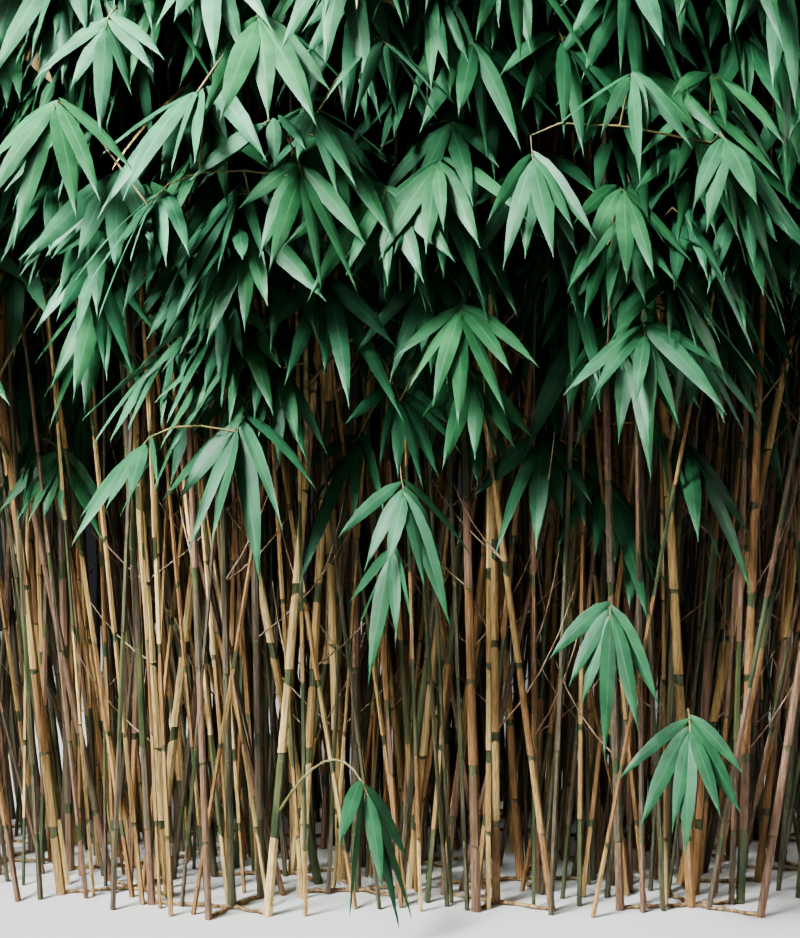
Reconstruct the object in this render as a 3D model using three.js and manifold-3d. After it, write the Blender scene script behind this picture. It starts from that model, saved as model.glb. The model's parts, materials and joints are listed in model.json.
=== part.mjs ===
// A clump of arrow bamboo that grows in level ground, in millimetres, with +Z up and its front towards -Y.
// Slender canes rise in tufts from flat cuts at ground level, and leafy branches hang round them in masses.
import * as THREE from "three";
import { mergeVertices } from "three/addons/utils/BufferGeometryUtils.js";
import Module from "manifold-3d";

const wasm = await Module();
wasm.setup();

// The ground that the canes rise from: a long round-ended patch.
const STAND_HALF_WIDTH = 880;
const STAND_HALF_DEPTH = 420;
const SQUARENESS = 2.6;

// The canes, in tufts: one in the middle and four round it, joined by runners along the ground.
const TUFT_COUNT = 31;
const CANES_IN_TUFT = 5;
const CANE_RADIUS = 7.4;
const CANE_RADIUS_SPREAD = 1.6;
const CANE_SIDES = 5;
const CANE_HEIGHT = 2420;
const RIM_DROP = 520;
const HEIGHT_SPREAD = 260;
const FLARED_RINGS = { shares: [0, 0.024, 0.55, 1], swell: [1.5, 1, 0.82, 0.45] };
const PLAIN_RINGS = { shares: [0, 0.55, 1], swell: [1.06, 0.82, 0.45] };
const TUFT_REACH = 0.155;
const RUNNER_WIDTH = 10;
const RUNNER_HEIGHT = 8;
const CANE_GAP = 4;
const CLEARANCE_STEP = 25;
const LEAN_ACROSS = 0.21;
const LEAN_DEEP = 0.1;
const LEAN_TRIES = 60;
const TIP_COVER = 130;

// The crown: a round-shouldered envelope that every leaf tip keeps inside.
const CROWN_CENTRE_HEIGHT = 1640;
const CROWN_HALF_WIDTH = 1320;
const CROWN_HALF_DEPTH = 900;
const CROWN_RISE = 1420;
const CROWN_DROP = 1120;
const LOWEST_SPRAY = -0.74;
const SPRAY_COUNT = 116;
const SPRAY_DEPTH = 0.84;

// The masses of foliage, in rings round the canes and one over them.
const RINGS = [
  { name: "foliage_low", count: 9, height: 1040, depth: 0.7, start: 0.5 },
  { name: "foliage_mid", count: 9, height: 1760, depth: 0.66, start: 0 },
  { name: "foliage_high", count: 5, height: 2420, depth: 0.58, start: 0.25 },
  { name: "foliage_peak", count: 1, height: 2600, depth: 0, start: 0 },
];
const STEM_DROP = 270;
const STEM_RADIUS = 5;
const STEM_TIP_RADIUS = 3.6;
const TWIG_RADIUS = 3.2;
const TWIG_TIP_RADIUS = 2.6;
const LEAF_LENGTH = 380;
const LEAF_HALF_WIDTH = 40;
const LEAF_THICKNESS = 5;
const LEAVES_IN_FAN = 5;
const LEAF_SPACING = 13;
const FAN_SPREAD = 1.2;
const WIDEST_SHARE = 0.4;
const JOINT_GAP = 0.4;
const LEAF_GAP = 5;
const PIECE_GAP = 1.5;

// Edges shorter than this, left where two shapes were joined, are taken out, and so are loose scraps.
const SLIVER = 0.08;

// Leafy shoots low on the canes, at the apex of each fan: a height, and where it hangs in plan.
const LOW_SPRAYS = [
  { x: -50, y: -560, height: 235 },
  { x: 340, y: -530, height: 520 },
  { x: 470, y: -540, height: 330 },
  { x: -420, y: 540, height: 430 },
];
const LOW_LEAF_LENGTH = 138;
const LOW_LEAF_HALF_WIDTH = 13;

const GOLDEN_ANGLE = Math.PI * (3 - Math.sqrt(5));
const UP = new THREE.Vector3(0, 0, 1);
const { clamp, lerp } = THREE.MathUtils;

const caneColour = new THREE.MeshStandardMaterial({ color: 0xc09a66, roughness: 0.55, metalness: 0 });
const leafColour = new THREE.MeshStandardMaterial({ color: 0x2f7a48, roughness: 0.45, metalness: 0 });

// A fixed number from 0 to 1 for each trait of each item, so that the clump is the same every time.
function chance(item, trait) {
  const wave = Math.sin(item * 12.9898 + trait * 78.233) * 43758.5453;
  return wave - Math.floor(wave);
}

// How far out a round-cornered outline of unit half widths lies along a direction.
function outline(...direction) {
  const sum = direction.reduce((total, part) => total + Math.abs(part) ** SQUARENESS, 0);
  return sum ** (-1 / SQUARENESS);
}

function tuftFoot(tuft) {
  const turn = tuft * GOLDEN_ANGLE;
  const [across, deep] = [Math.cos(turn), Math.sin(turn)];
  const out = Math.sqrt(tuft / (TUFT_COUNT + 0.5)) * outline(across, deep);
  return new THREE.Vector2(STAND_HALF_WIDTH * out * across, STAND_HALF_DEPTH * out * deep);
}

// Which stretch of a cane a height lies in, and how far along it.
function stretchOf(cane, height) {
  const share = height / cane.height;
  const { shares } = cane.rings;
  const upper = Math.max(1, shares.findIndex((ring) => ring >= share));
  const [low, high] = [shares[upper - 1], shares[upper]];
  return { upper, low, high, between: (share - low) / (high - low) };
}

// The centre of a cane at a height, along the straight stretches between its rings.
function caneCentre(cane, height) {
  const { low, high, between } = stretchOf(cane, height);
  const bow = cane.height * lerp(low ** 2, high ** 2, between);
  return new THREE.Vector2(
    cane.foot.x + cane.lean.x * height + cane.bow.x * bow,
    cane.foot.y + cane.lean.y * height + cane.bow.y * bow,
  );
}

function caneRadius(cane, height) {
  const { upper, between } = stretchOf(cane, height);
  return cane.radius * lerp(cane.rings.swell[upper - 1], cane.rings.swell[upper], between);
}

function standsClear(cane, other) {
  for (let z = 0; z < Math.min(cane.height, other.height); z += CLEARANCE_STEP) {
    const room = caneRadius(cane, z) + caneRadius(other, z) + CANE_GAP;
    if (caneCentre(cane, z).distanceTo(caneCentre(other, z)) < room) return false;
  }
  return true;
}

// A cane's tip stays well inside the crown, so that leaves cover it.
function tipIsCovered(cane) {
  const tip = caneCentre(cane, cane.height);
  const rise = (cane.height + TIP_COVER - CROWN_CENTRE_HEIGHT) / CROWN_RISE;
  return outline(tip.x / (CROWN_HALF_WIDTH - TIP_COVER), tip.y / (CROWN_HALF_DEPTH - TIP_COVER), rise) >= 1;
}

// Each cane takes the first of its own leans that keeps it clear of the canes that stand already.
function leanOf(cane, item, standing) {
  const [outX, outY] = [cane.foot.x / STAND_HALF_WIDTH, cane.foot.y / STAND_HALF_DEPTH];
  for (let attempt = 0; attempt < LEAN_TRIES; attempt++) {
    const sway = chance(item, 20 + 4 * attempt) + chance(item, 21 + 4 * attempt) - 1;
    const pitch = chance(item, 22 + 4 * attempt) + chance(item, 23 + 4 * attempt) - 1;
    cane.lean = new THREE.Vector2(0.05 * outX + LEAN_ACROSS * sway, 0.05 * outY + LEAN_DEEP * pitch);
    if (tipIsCovered(cane) && standing.every((other) => standsClear(cane, other))) return true;
  }
  return false;
}

// The runner to a cane from the middle of its tuft may touch no other tuft's feet or runners.
function runnerIsClear(cane, standing) {
  const span = cane.runnerTo.clone().sub(cane.foot);
  for (let step = 0; step <= 20; step++) {
    const point = cane.foot.clone().addScaledVector(span, step / 20);
    for (const other of standing) {
      if (other.tuft === cane.tuft) continue;
      const room = RUNNER_WIDTH + CANE_RADIUS + CANE_RADIUS_SPREAD + CANE_GAP;
      const rest = (other.runnerTo ?? other.foot).clone().sub(other.foot);
      const along = point.clone().sub(other.foot).dot(rest) / Math.max(1, rest.lengthSq());
      const near = other.foot.clone().addScaledVector(rest, clamp(along, 0, 1));
      if (point.distanceTo(near) < room) return false;
    }
  }
  return true;
}

function plantCanes() {
  const patch = new THREE.Vector2(STAND_HALF_WIDTH, STAND_HALF_DEPTH);
  const middle = {
    tuft: 0,
    foot: new THREE.Vector2(),
    lean: new THREE.Vector2(),
    bow: new THREE.Vector2(),
    height: CANE_HEIGHT,
    radius: CANE_RADIUS + CANE_RADIUS_SPREAD,
    rings: FLARED_RINGS,
  };
  const standing = [middle];
  for (let tuft = 1; tuft <= TUFT_COUNT; tuft++) {
    const centre = tuftFoot(tuft);
    for (let place = 0; place < CANES_IN_TUFT; place++) {
      const item = tuft * CANES_IN_TUFT + place;
      const round = (place + 0.5 * (chance(item, 0) - 0.5)) / (CANES_IN_TUFT - 1);
      const turn = 2 * Math.PI * (round + chance(tuft, 1));
      const arm = place === 0 ? 0 : TUFT_REACH * (0.72 + 0.5 * chance(item, 8));
      const foot = new THREE.Vector2(
        centre.x + STAND_HALF_WIDTH * arm * Math.cos(turn),
        centre.y + STAND_HALF_DEPTH * arm * Math.sin(turn),
      );
      const rim = Math.hypot(foot.x / STAND_HALF_WIDTH, foot.y / STAND_HALF_DEPTH);
      const radius = CANE_RADIUS + CANE_RADIUS_SPREAD * (2 * chance(item, 2) - 1);
      const drop = RIM_DROP * Math.min(1, rim * rim);
      const height = CANE_HEIGHT - drop + HEIGHT_SPREAD * (chance(item, 3) - 0.7);
      const reach = 0.03 + 0.07 * chance(item, 4);
      const bow = foot.clone().divide(patch).multiplyScalar(reach);
      const runnerTo = place === 0 ? null : centre;
      const cane = { tuft, foot, radius, height, bow, runnerTo, rings: PLAIN_RINGS };
      if (runnerTo && !runnerIsClear(cane, standing)) continue;
      if (leanOf(cane, item, standing)) standing.push(cane);
    }
  }
  return standing;
}

function toSolid(geometry) {
  geometry.deleteAttribute("normal");
  geometry.deleteAttribute("uv");
  const merged = mergeVertices(geometry, 1e-4);
  const triVerts = new Uint32Array(merged.index.array);
  return new wasm.Manifold(
    new wasm.Mesh({ numProp: 3, vertProperties: merged.attributes.position.array, triVerts }),
  );
}

function largestPiece(solid) {
  return solid.decompose().reduce((best, piece) => (piece.volume() > best.volume() ? piece : best));
}

function toMesh(solid, name, material) {
  const whole = largestPiece(solid.simplify(SLIVER));
  const { numProp, numVert, vertProperties, triVerts } = whole.getMesh();
  const positions = new Float32Array(numVert * 3);
  for (let v = 0; v < numVert; v++) {
    positions.set(vertProperties.subarray(v * numProp, v * numProp + 3), v * 3);
  }
  const geometry = new THREE.BufferGeometry();
  geometry.setAttribute("position", new THREE.BufferAttribute(positions, 3));
  geometry.setIndex(new THREE.BufferAttribute(triVerts, 1));
  geometry.computeVertexNormals();
  const mesh = new THREE.Mesh(geometry, material);
  mesh.name = name;
  return mesh;
}

// A tapering limb of few sides: a cylinder whose rings are set square to the line through the stations.
// Each ring's side is carried over from the ring before, so that the limb never twists.
function limb(stations, sides, level = false) {
  const last = stations.length - 1;
  const geometry = new THREE.CylinderGeometry(1, 1, 1, sides, last);
  const side = new THREE.Vector3();
  const frames = stations.map((station, i) => {
    const before = stations[Math.max(0, i - 1)].at;
    const after = stations[Math.min(last, i + 1)].at;
    const along = level ? UP.clone() : after.clone().sub(before).normalize();
    if (i === 0) side.crossVectors(Math.abs(along.z) > 0.9 ? new THREE.Vector3(1, 0, 0) : UP, along);
    side.addScaledVector(along, -side.dot(along)).normalize();
    return { side: side.clone(), lift: new THREE.Vector3().crossVectors(side, along) };
  });
  const corner = geometry.attributes.position;
  for (let v = 0; v < corner.count; v++) {
    const ring = Math.round((corner.getY(v) + 0.5) * last);
    const point = stations[ring].at
      .clone()
      .addScaledVector(frames[ring].side, corner.getX(v) * stations[ring].radius)
      .addScaledVector(frames[ring].lift, corner.getZ(v) * stations[ring].radius);
    corner.setXYZ(v, point.x, point.y, point.z);
  }
  return toSolid(geometry);
}

function caneSolid(cane, growth = 0) {
  const stations = cane.rings.shares.map((share) => {
    const centre = caneCentre(cane, share * cane.height);
    return {
      at: new THREE.Vector3(centre.x, centre.y, share * cane.height),
      radius: caneRadius(cane, share * cane.height) + growth,
    };
  });
  return limb(stations, CANE_SIDES, true);
}

// A runner: a low ridge that lies flat on the ground between two feet.
function runnerSolid(from, to) {
  const geometry = new THREE.CylinderGeometry(1, 1, 1, 3, 1);
  const along = to.clone().sub(from);
  const side = new THREE.Vector2(along.y, -along.x).setLength(RUNNER_WIDTH / 2);
  const corner = geometry.attributes.position;
  for (let v = 0; v < corner.count; v++) {
    const across = corner.getX(v) / Math.sin(Math.PI / 3);
    const point = from.clone().addScaledVector(along, corner.getY(v) + 0.5).addScaledVector(side, across);
    const rise = (corner.getZ(v) + 0.5) / 1.5;
    corner.setXYZ(v, point.x, point.y, rise < 0.01 ? 0 : rise * RUNNER_HEIGHT);
  }
  return toSolid(geometry);
}

// A point in the crown, by its rise and turn on a ball and its share of the way out to the envelope.
function crownPoint(rise, turn, share) {
  const level = Math.sqrt(1 - rise * rise);
  const [across, deep] = [level * Math.cos(turn), level * Math.sin(turn)];
  const out = share * outline(across, deep, rise);
  return new THREE.Vector3(
    CROWN_HALF_WIDTH * out * across,
    CROWN_HALF_DEPTH * out * deep,
    CROWN_CENTRE_HEIGHT + (rise > 0 ? CROWN_RISE : CROWN_DROP) * out * rise,
  );
}

function insideCrown(point) {
  const up = point.z - CROWN_CENTRE_HEIGHT;
  const rise = up / (up > 0 ? CROWN_RISE : CROWN_DROP);
  return outline(point.x / CROWN_HALF_WIDTH, point.y / CROWN_HALF_DEPTH, rise) >= 1;
}

function massCentres() {
  return RINGS.flatMap((ring) =>
    Array.from({ length: ring.count }, (_, i) => {
      const turn = ((i + ring.start) / ring.count) * 2 * Math.PI;
      const [across, deep] = [Math.cos(turn), Math.sin(turn)];
      const up = ring.height - CROWN_CENTRE_HEIGHT;
      const lift = Math.abs(up / (up > 0 ? CROWN_RISE : CROWN_DROP)) ** SQUARENESS;
      const out = ring.depth * outline(across, deep) * (1 - lift) ** (1 / SQUARENESS);
      return {
        name: ring.count > 1 ? `${ring.name}_${i + 1}` : ring.name,
        at: new THREE.Vector3(CROWN_HALF_WIDTH * out * across, CROWN_HALF_DEPTH * out * deep, ring.height),
      };
    }),
  );
}

function nearestMass(point, masses) {
  let best = masses[0];
  for (const mass of masses) {
    if (point.distanceToSquared(mass.at) < point.distanceToSquared(best.at)) best = mass;
  }
  return best;
}

// A mass keeps to the points that lie nearer its own centre than any other, with room to the border.
function inOwnSpace(point, mass, masses, room = 0.5) {
  return masses.every((other) => {
    if (other === mass) return true;
    const apart = mass.at.distanceTo(other.at);
    return (point.distanceToSquared(other.at) - point.distanceToSquared(mass.at)) / (2 * apart) > room;
  });
}

function clearOfCanes(point, room, canes, carrier) {
  return canes.every((cane) => {
    if (cane === carrier || point.z > cane.height + room || point.z < 0) return true;
    const height = Math.min(point.z, cane.height);
    const centre = caneCentre(cane, height);
    return Math.hypot(point.x - centre.x, point.y - centre.y) > caneRadius(cane, height) + room;
  });
}

// An arching line from one point to another that bends towards a knee.
function arch(from, knee, to, count, radiusFrom, radiusTo) {
  const curve = new THREE.QuadraticBezierCurve3(from, knee, to);
  return Array.from({ length: count }, (_, i) => {
    const share = i / (count - 1);
    return { at: curve.getPoint(share), radius: radiusFrom + (radiusTo - radiusFrom) * share };
  });
}

function lineIsClear(stations, canes, carrier) {
  return stations.slice(1).every((station, i) => {
    const start = stations[i].at;
    const steps = Math.ceil(start.distanceTo(station.at) / 12);
    for (let step = 0; step <= steps; step++) {
      const point = start.clone().lerp(station.at, step / steps);
      if (!clearOfCanes(point, station.radius + LEAF_GAP, canes, carrier)) return false;
    }
    return true;
  });
}

// One leaf: a four-faced blade, with a keel from its root to its tip and a ridge across its widest place.
function leafPoints(root, heading, across, length, halfWidth) {
  const back = new THREE.Vector3().crossVectors(heading, across);
  const middle = root.clone().addScaledVector(heading, WIDEST_SHARE * length);
  middle.addScaledVector(back, LEAF_THICKNESS);
  return {
    root,
    tip: root.clone().addScaledVector(heading, length),
    left: middle.clone().addScaledVector(across, -halfWidth),
    right: middle.clone().addScaledVector(across, halfWidth),
  };
}

function leafSolid(points) {
  const geometry = new THREE.TetrahedronGeometry(1);
  const corner = geometry.attributes.position;
  for (let v = 0; v < corner.count; v++) {
    const first = corner.getX(v) < 0;
    const [keel, edge] = first ? [points.root, points.left] : [points.tip, points.right];
    const point = corner.getZ(v) < 0 ? keel : edge;
    corner.setXYZ(v, point.x, point.y, point.z);
  }
  return toSolid(geometry);
}

function leafIsClear(points, halfWidth, canes) {
  const middle = points.left.clone().lerp(points.right, 0.5);
  for (let step = 0; step <= 16; step++) {
    const share = step / 16;
    const inner = share < WIDEST_SHARE;
    const part = inner ? share / WIDEST_SHARE : (share - WIDEST_SHARE) / (1 - WIDEST_SHARE);
    const point = inner ? points.root.clone().lerp(middle, part) : middle.clone().lerp(points.tip, part);
    const width = halfWidth * (inner ? part : 1 - part);
    if (!clearOfCanes(point, width + LEAF_GAP, canes)) return false;
  }
  return true;
}

// The point on a limb at a distance back from its end.
function backFromEnd(stations, distance) {
  const end = stations[stations.length - 1].at;
  const before = stations[stations.length - 2].at;
  return end.clone().lerp(before, Math.min(0.9, distance / end.distanceTo(before)));
}

function staysOff(piece, others) {
  return others.every((other) => piece.minGap(other, 2 * PIECE_GAP) > PIECE_GAP);
}

// A hand of leaves spread about the way a twig arrives, rooted one behind another along its end.
// A leaf that doesn't fit, or that touches a neighbour, is tried shorter and then left out.
function fan(twig, item, size, neighbours, fits) {
  const heading = twig[twig.length - 1].at.clone().sub(twig[twig.length - 2].at).normalize();
  const beside = new THREE.Vector3().crossVectors(heading, UP).normalize();
  const face = new THREE.Vector3().crossVectors(beside, heading).normalize();
  const leaves = [];
  for (let i = 0; i < LEAVES_IN_FAN; i++) {
    const side = i % 2 ? 1 : -1;
    const place = Math.ceil(i / 2) / Math.floor(LEAVES_IN_FAN / 2);
    const angle = side * FAN_SPREAD * place + 0.12 * (chance(item, 50 + i) - 0.5);
    const along = heading.clone().multiplyScalar(Math.cos(angle)).addScaledVector(beside, Math.sin(angle));
    along.addScaledVector(face, 0.3 * (chance(item, 60 + i) - 0.5)).normalize();
    const across = new THREE.Vector3().crossVectors(along, face).normalize();
    across.applyAxisAngle(along, 0.6 * (chance(item, 70 + i) - 0.5));
    const root = backFromEnd(twig, LEAF_SPACING * (i + 0.3));
    for (const shrink of [1, 0.82, 0.66, 0.5]) {
      const length = size.length * shrink * (0.86 + 0.28 * chance(item, 80 + i));
      const halfWidth = (size.halfWidth * length) / size.length;
      const points = leafPoints(root, along, across, length, halfWidth);
      if (!fits(points, halfWidth)) continue;
      const leaf = leafSolid(points);
      if (!staysOff(leaf, [...neighbours, ...leaves])) continue;
      leaves.push(leaf);
      break;
    }
  }
  return leaves;
}

// The fan's heading: outwards and down, and more level the higher it grows.
function fanHeading(apex, item) {
  const out = new THREE.Vector3(apex.x / CROWN_HALF_WIDTH, apex.y / CROWN_HALF_DEPTH, 0).normalize();
  const rise = (apex.z - CROWN_CENTRE_HEIGHT) / CROWN_RISE;
  out.applyAxisAngle(UP, 1.3 * (chance(item, 5) - 0.5));
  const lift = -1.3 + 2 * Math.max(0, rise) ** 1.5 + 0.5 * (chance(item, 6) - 0.5);
  return out.addScaledVector(UP, lift).normalize();
}

// The canes nearest a mass, as those that its stem may spring from, with where it springs.
function carriersOf(mass, canes) {
  return canes
    .map((cane) => {
      const height = Math.min(mass.at.z - STEM_DROP, cane.height);
      const centre = caneCentre(cane, height);
      return { cane, from: new THREE.Vector3(centre.x, centre.y, height), fromTip: height === cane.height };
    })
    .sort((a, b) => a.from.distanceTo(mass.at) - b.from.distanceTo(mass.at));
}

// The stem of a mass: from inside its carrier, or from just over its carrier's tip, to the mass's middle.
function stemOf(mass, { cane, from, fromTip }) {
  if (fromTip) {
    const radius = caneRadius(cane, cane.height);
    const start = from.clone().addScaledVector(UP, JOINT_GAP);
    const rise = start.clone().addScaledVector(UP, 8 * radius);
    const knee = rise.clone().addScaledVector(UP, rise.distanceTo(mass.at) / 2);
    return [{ at: start, radius }, ...arch(rise, knee, mass.at, 3, radius, STEM_TIP_RADIUS)];
  }
  const heading = mass.at.clone().sub(from).setZ(0).setLength(0.72).addScaledVector(UP, 0.69);
  const knee = from.clone().addScaledVector(heading, from.distanceTo(mass.at) / 2);
  return arch(from, knee, mass.at, 4, STEM_RADIUS, STEM_TIP_RADIUS);
}

// The point at a share of the way along the last stretches of a stem.
function springPoint(stem, share) {
  const along = 1 + share * (stem.length - 2);
  const before = Math.min(stem.length - 2, Math.floor(along));
  return stem[before].at.clone().lerp(stem[before + 1].at, along - before);
}

function massSolid(mass, masses, canes, sprays) {
  const own = sprays.filter((spray) => spray.mass === mass);
  const inside = (station) => inOwnSpace(station.at, mass, masses, station.radius + 0.5);
  const fits = (points, halfWidth) =>
    Object.values(points).every((point) => insideCrown(point) && inOwnSpace(point, mass, masses)) &&
    leafIsClear(points, halfWidth, canes);
  for (const carrier of carriersOf(mass, canes)) {
    const stem = stemOf(mass, carrier);
    const others = canes.filter((other) => other !== carrier.cane);
    if (!stem.every(inside) || !lineIsClear(stem, others)) continue;
    const pieces = [limb(stem, 4)];
    own.forEach((spray, k) => {
      const root = springPoint(stem, (k + 0.6) / own.length);
      const heading = fanHeading(spray.apex, spray.item);
      const knee = spray.apex.clone().addScaledVector(heading, -0.5 * root.distanceTo(spray.apex));
      const twig = arch(root, knee, spray.apex, 3, TWIG_RADIUS, TWIG_TIP_RADIUS);
      const twigSolid = limb(twig, 3);
      if (!twig.every(inside) || !lineIsClear(twig, canes)) return;
      if (!staysOff(twigSolid, pieces.slice(1))) return;
      const size = { length: LEAF_LENGTH, halfWidth: LEAF_HALF_WIDTH };
      const leaves = fan(twig, spray.item, size, pieces, fits);
      if (leaves.length > 1) pieces.push(twigSolid, ...leaves);
    });
    const whole = wasm.Manifold.union(pieces);
    return carrier.fromTip ? whole : whole.subtract(caneSolid(carrier.cane, JOINT_GAP));
  }
  throw new Error(`no cane can carry ${mass.name}`);
}

function lowSpraySolid(place, item, canes) {
  const apex = new THREE.Vector3(place.x, place.y, place.height);
  const starts = canes
    .map((cane) => {
      const centre = caneCentre(cane, place.height - 60);
      return { cane, from: new THREE.Vector3(centre.x, centre.y, place.height - 60) };
    })
    .sort((a, b) => a.from.distanceTo(apex) - b.from.distanceTo(apex));
  for (const { cane, from } of starts) {
    const out = apex.clone().sub(from).setZ(0).normalize();
    const heading = out.clone().multiplyScalar(0.45).addScaledVector(UP, -0.9).normalize();
    const knee = apex.clone().addScaledVector(heading, -0.7 * from.distanceTo(apex));
    const stem = arch(from, knee, apex, 5, TWIG_RADIUS, TWIG_TIP_RADIUS);
    if (!lineIsClear(stem, canes.filter((other) => other !== cane))) continue;
    const size = { length: LOW_LEAF_LENGTH, halfWidth: LOW_LEAF_HALF_WIDTH };
    const fits = (points, halfWidth) => leafIsClear(points, halfWidth, canes) && points.tip.z > 12;
    const whole = wasm.Manifold.union([limb(stem, 3), ...fan(stem, item, size, [], fits)]);
    return whole.subtract(caneSolid(cane, JOINT_GAP));
  }
  throw new Error(`no cane can carry low spray ${item}`);
}

const clump = new THREE.Group();
const canes = plantCanes();

clump.add(toMesh(caneSolid(canes[0]), "main_culm", caneColour));
for (let tuft = 1; tuft <= TUFT_COUNT; tuft++) {
  const mates = canes.filter((cane) => cane.tuft === tuft);
  const runners = mates.slice(1).map((cane) => runnerSolid(cane.foot, cane.runnerTo));
  const whole = wasm.Manifold.union([...mates.map((cane) => caneSolid(cane)), ...runners]);
  clump.add(toMesh(whole, `culm_tuft_${tuft}`, caneColour));
}

const masses = massCentres();
const sprays = Array.from({ length: SPRAY_COUNT }, (_, item) => {
  const rise = LOWEST_SPRAY + (1 - LOWEST_SPRAY) * ((item + 0.5) / SPRAY_COUNT) ** 0.8;
  const apex = crownPoint(rise, item * GOLDEN_ANGLE, SPRAY_DEPTH - 0.12 * chance(item, 7));
  return { item, apex, mass: nearestMass(apex, masses) };
});
for (const mass of masses) {
  clump.add(toMesh(massSolid(mass, masses, canes, sprays), mass.name, leafColour));
}

LOW_SPRAYS.forEach((place, i) => {
  clump.add(toMesh(lowSpraySolid(place, 900 + i, canes), `low_spray_${i + 1}`, leafColour));
});

export default clump;
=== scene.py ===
# %% [markdown]
# # A clump of arrow bamboo
# A garden bamboo that spreads from its roots: hundreds of slender canes rise close together from bare
# ground, each wrapped in papery sheaths, and hands of long leaves hang from thin arching twigs above them.
# The faceted part gives every tuft of canes and every mass of foliage its place. This lesson dresses each of
# them: real internodes on the canes, and twigs and leaves at their true size in the masses.

import json
import math

import bpy
import numpy as np
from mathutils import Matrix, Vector

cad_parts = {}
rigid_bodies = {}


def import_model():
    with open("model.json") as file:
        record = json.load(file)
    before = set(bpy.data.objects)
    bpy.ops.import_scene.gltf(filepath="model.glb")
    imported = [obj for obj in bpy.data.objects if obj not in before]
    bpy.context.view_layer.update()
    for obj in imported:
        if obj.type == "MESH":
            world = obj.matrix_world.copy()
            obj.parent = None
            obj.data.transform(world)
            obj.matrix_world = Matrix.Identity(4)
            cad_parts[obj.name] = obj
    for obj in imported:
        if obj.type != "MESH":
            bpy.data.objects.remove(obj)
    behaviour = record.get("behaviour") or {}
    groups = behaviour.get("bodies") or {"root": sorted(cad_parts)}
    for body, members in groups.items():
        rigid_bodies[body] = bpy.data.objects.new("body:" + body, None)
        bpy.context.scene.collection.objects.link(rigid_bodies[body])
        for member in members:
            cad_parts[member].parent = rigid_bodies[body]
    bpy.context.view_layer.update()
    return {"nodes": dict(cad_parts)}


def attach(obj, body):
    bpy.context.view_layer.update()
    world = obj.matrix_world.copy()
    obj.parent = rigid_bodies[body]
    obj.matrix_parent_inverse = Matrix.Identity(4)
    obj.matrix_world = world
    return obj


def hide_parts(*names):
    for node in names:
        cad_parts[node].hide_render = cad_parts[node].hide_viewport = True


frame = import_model()
print("nodes:", len(frame["nodes"]))


# %% [markdown]
# Nothing in a clump repeats, yet a lesson has to give the same plant on every run. A fixed hash does both:
# each item, such as a cane, has a number, and so has each trait, and the two together draw a share from
# 0 to 1. The parts of a cane, such as its internodes, count on from a multiple of the cane's number.


# %% A fixed chance for each trait of each item
ITEM_STEP = 12.9898
TRAIT_STEP = 78.233
WAVE_HEIGHT = 43758.5453


def chance(item, trait):
    wave = np.sin(np.asarray(item, dtype=float) * ITEM_STEP + trait * TRAIT_STEP) * WAVE_HEIGHT
    return wave - np.floor(wave)


def unit(vectors):
    return vectors / np.linalg.norm(vectors, axis=-1, keepdims=True)


# %% [markdown]
# The canes stand on a long round-ended patch of ground, in tufts of up to five: one in the middle and the
# rest round it, joined by runners along the ground. The tufts are set out like the seeds of a sunflower,
# which fills a patch evenly without rows. Each cane leans its own way, and takes the first of its leans that
# keeps it clear of the canes that stand already, as growing canes find the light. One that has none of
# them is left out.

# %% Sizes of the stand and of the crown over it, in metres
STAND_HALF_WIDTH = 0.88
STAND_HALF_DEPTH = 0.42
SQUARENESS = 2.6
TUFT_COUNT = 31
CANES_IN_TUFT = 5
CANE_RADIUS = 0.0074
CANE_RADIUS_SPREAD = 0.0016
CANE_HEIGHT = 2.42
RIM_DROP = 0.52
HEIGHT_SPREAD = 0.26
SHORTER_SHARE = 0.7
BOW = 0.03
BOW_SPREAD = 0.07
# Shares of a cane's height, and its wall there as a share of its radius
FLARED_RINGS = ([0, 0.024, 0.55, 1], [1.5, 1, 0.82, 0.45])
PLAIN_RINGS = ([0, 0.55, 1], [1.06, 0.82, 0.45])
TUFT_REACH = 0.155
ARM = 0.72
ARM_SPREAD = 0.5
ARM_SWAY = 0.5
RUNNER_WIDTH = 0.01
CANE_GAP = 0.004
LEAN_OUT = 0.05
LEAN_ACROSS = 0.21
LEAN_DEEP = 0.1
LEAN_TRIES = 60
LEAN_TRAITS = 20
TIP_COVER = 0.13
CROWN_CENTRE_HEIGHT = 1.64
CROWN_HALF_WIDTH = 1.32
CROWN_HALF_DEPTH = 0.9
CROWN_RISE = 1.42
CROWN_DROP = 1.12
GOLDEN_ANGLE = math.pi * (3 - math.sqrt(5))
LEVELS = np.arange(0, 2.8, 0.025)


def outline(*direction):
    return sum(np.abs(part) ** SQUARENESS for part in direction) ** (-1 / SQUARENESS)


# %% One cane: where its centre and its wall are at a height
PATCH = np.array([STAND_HALF_WIDTH, STAND_HALF_DEPTH])


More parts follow.
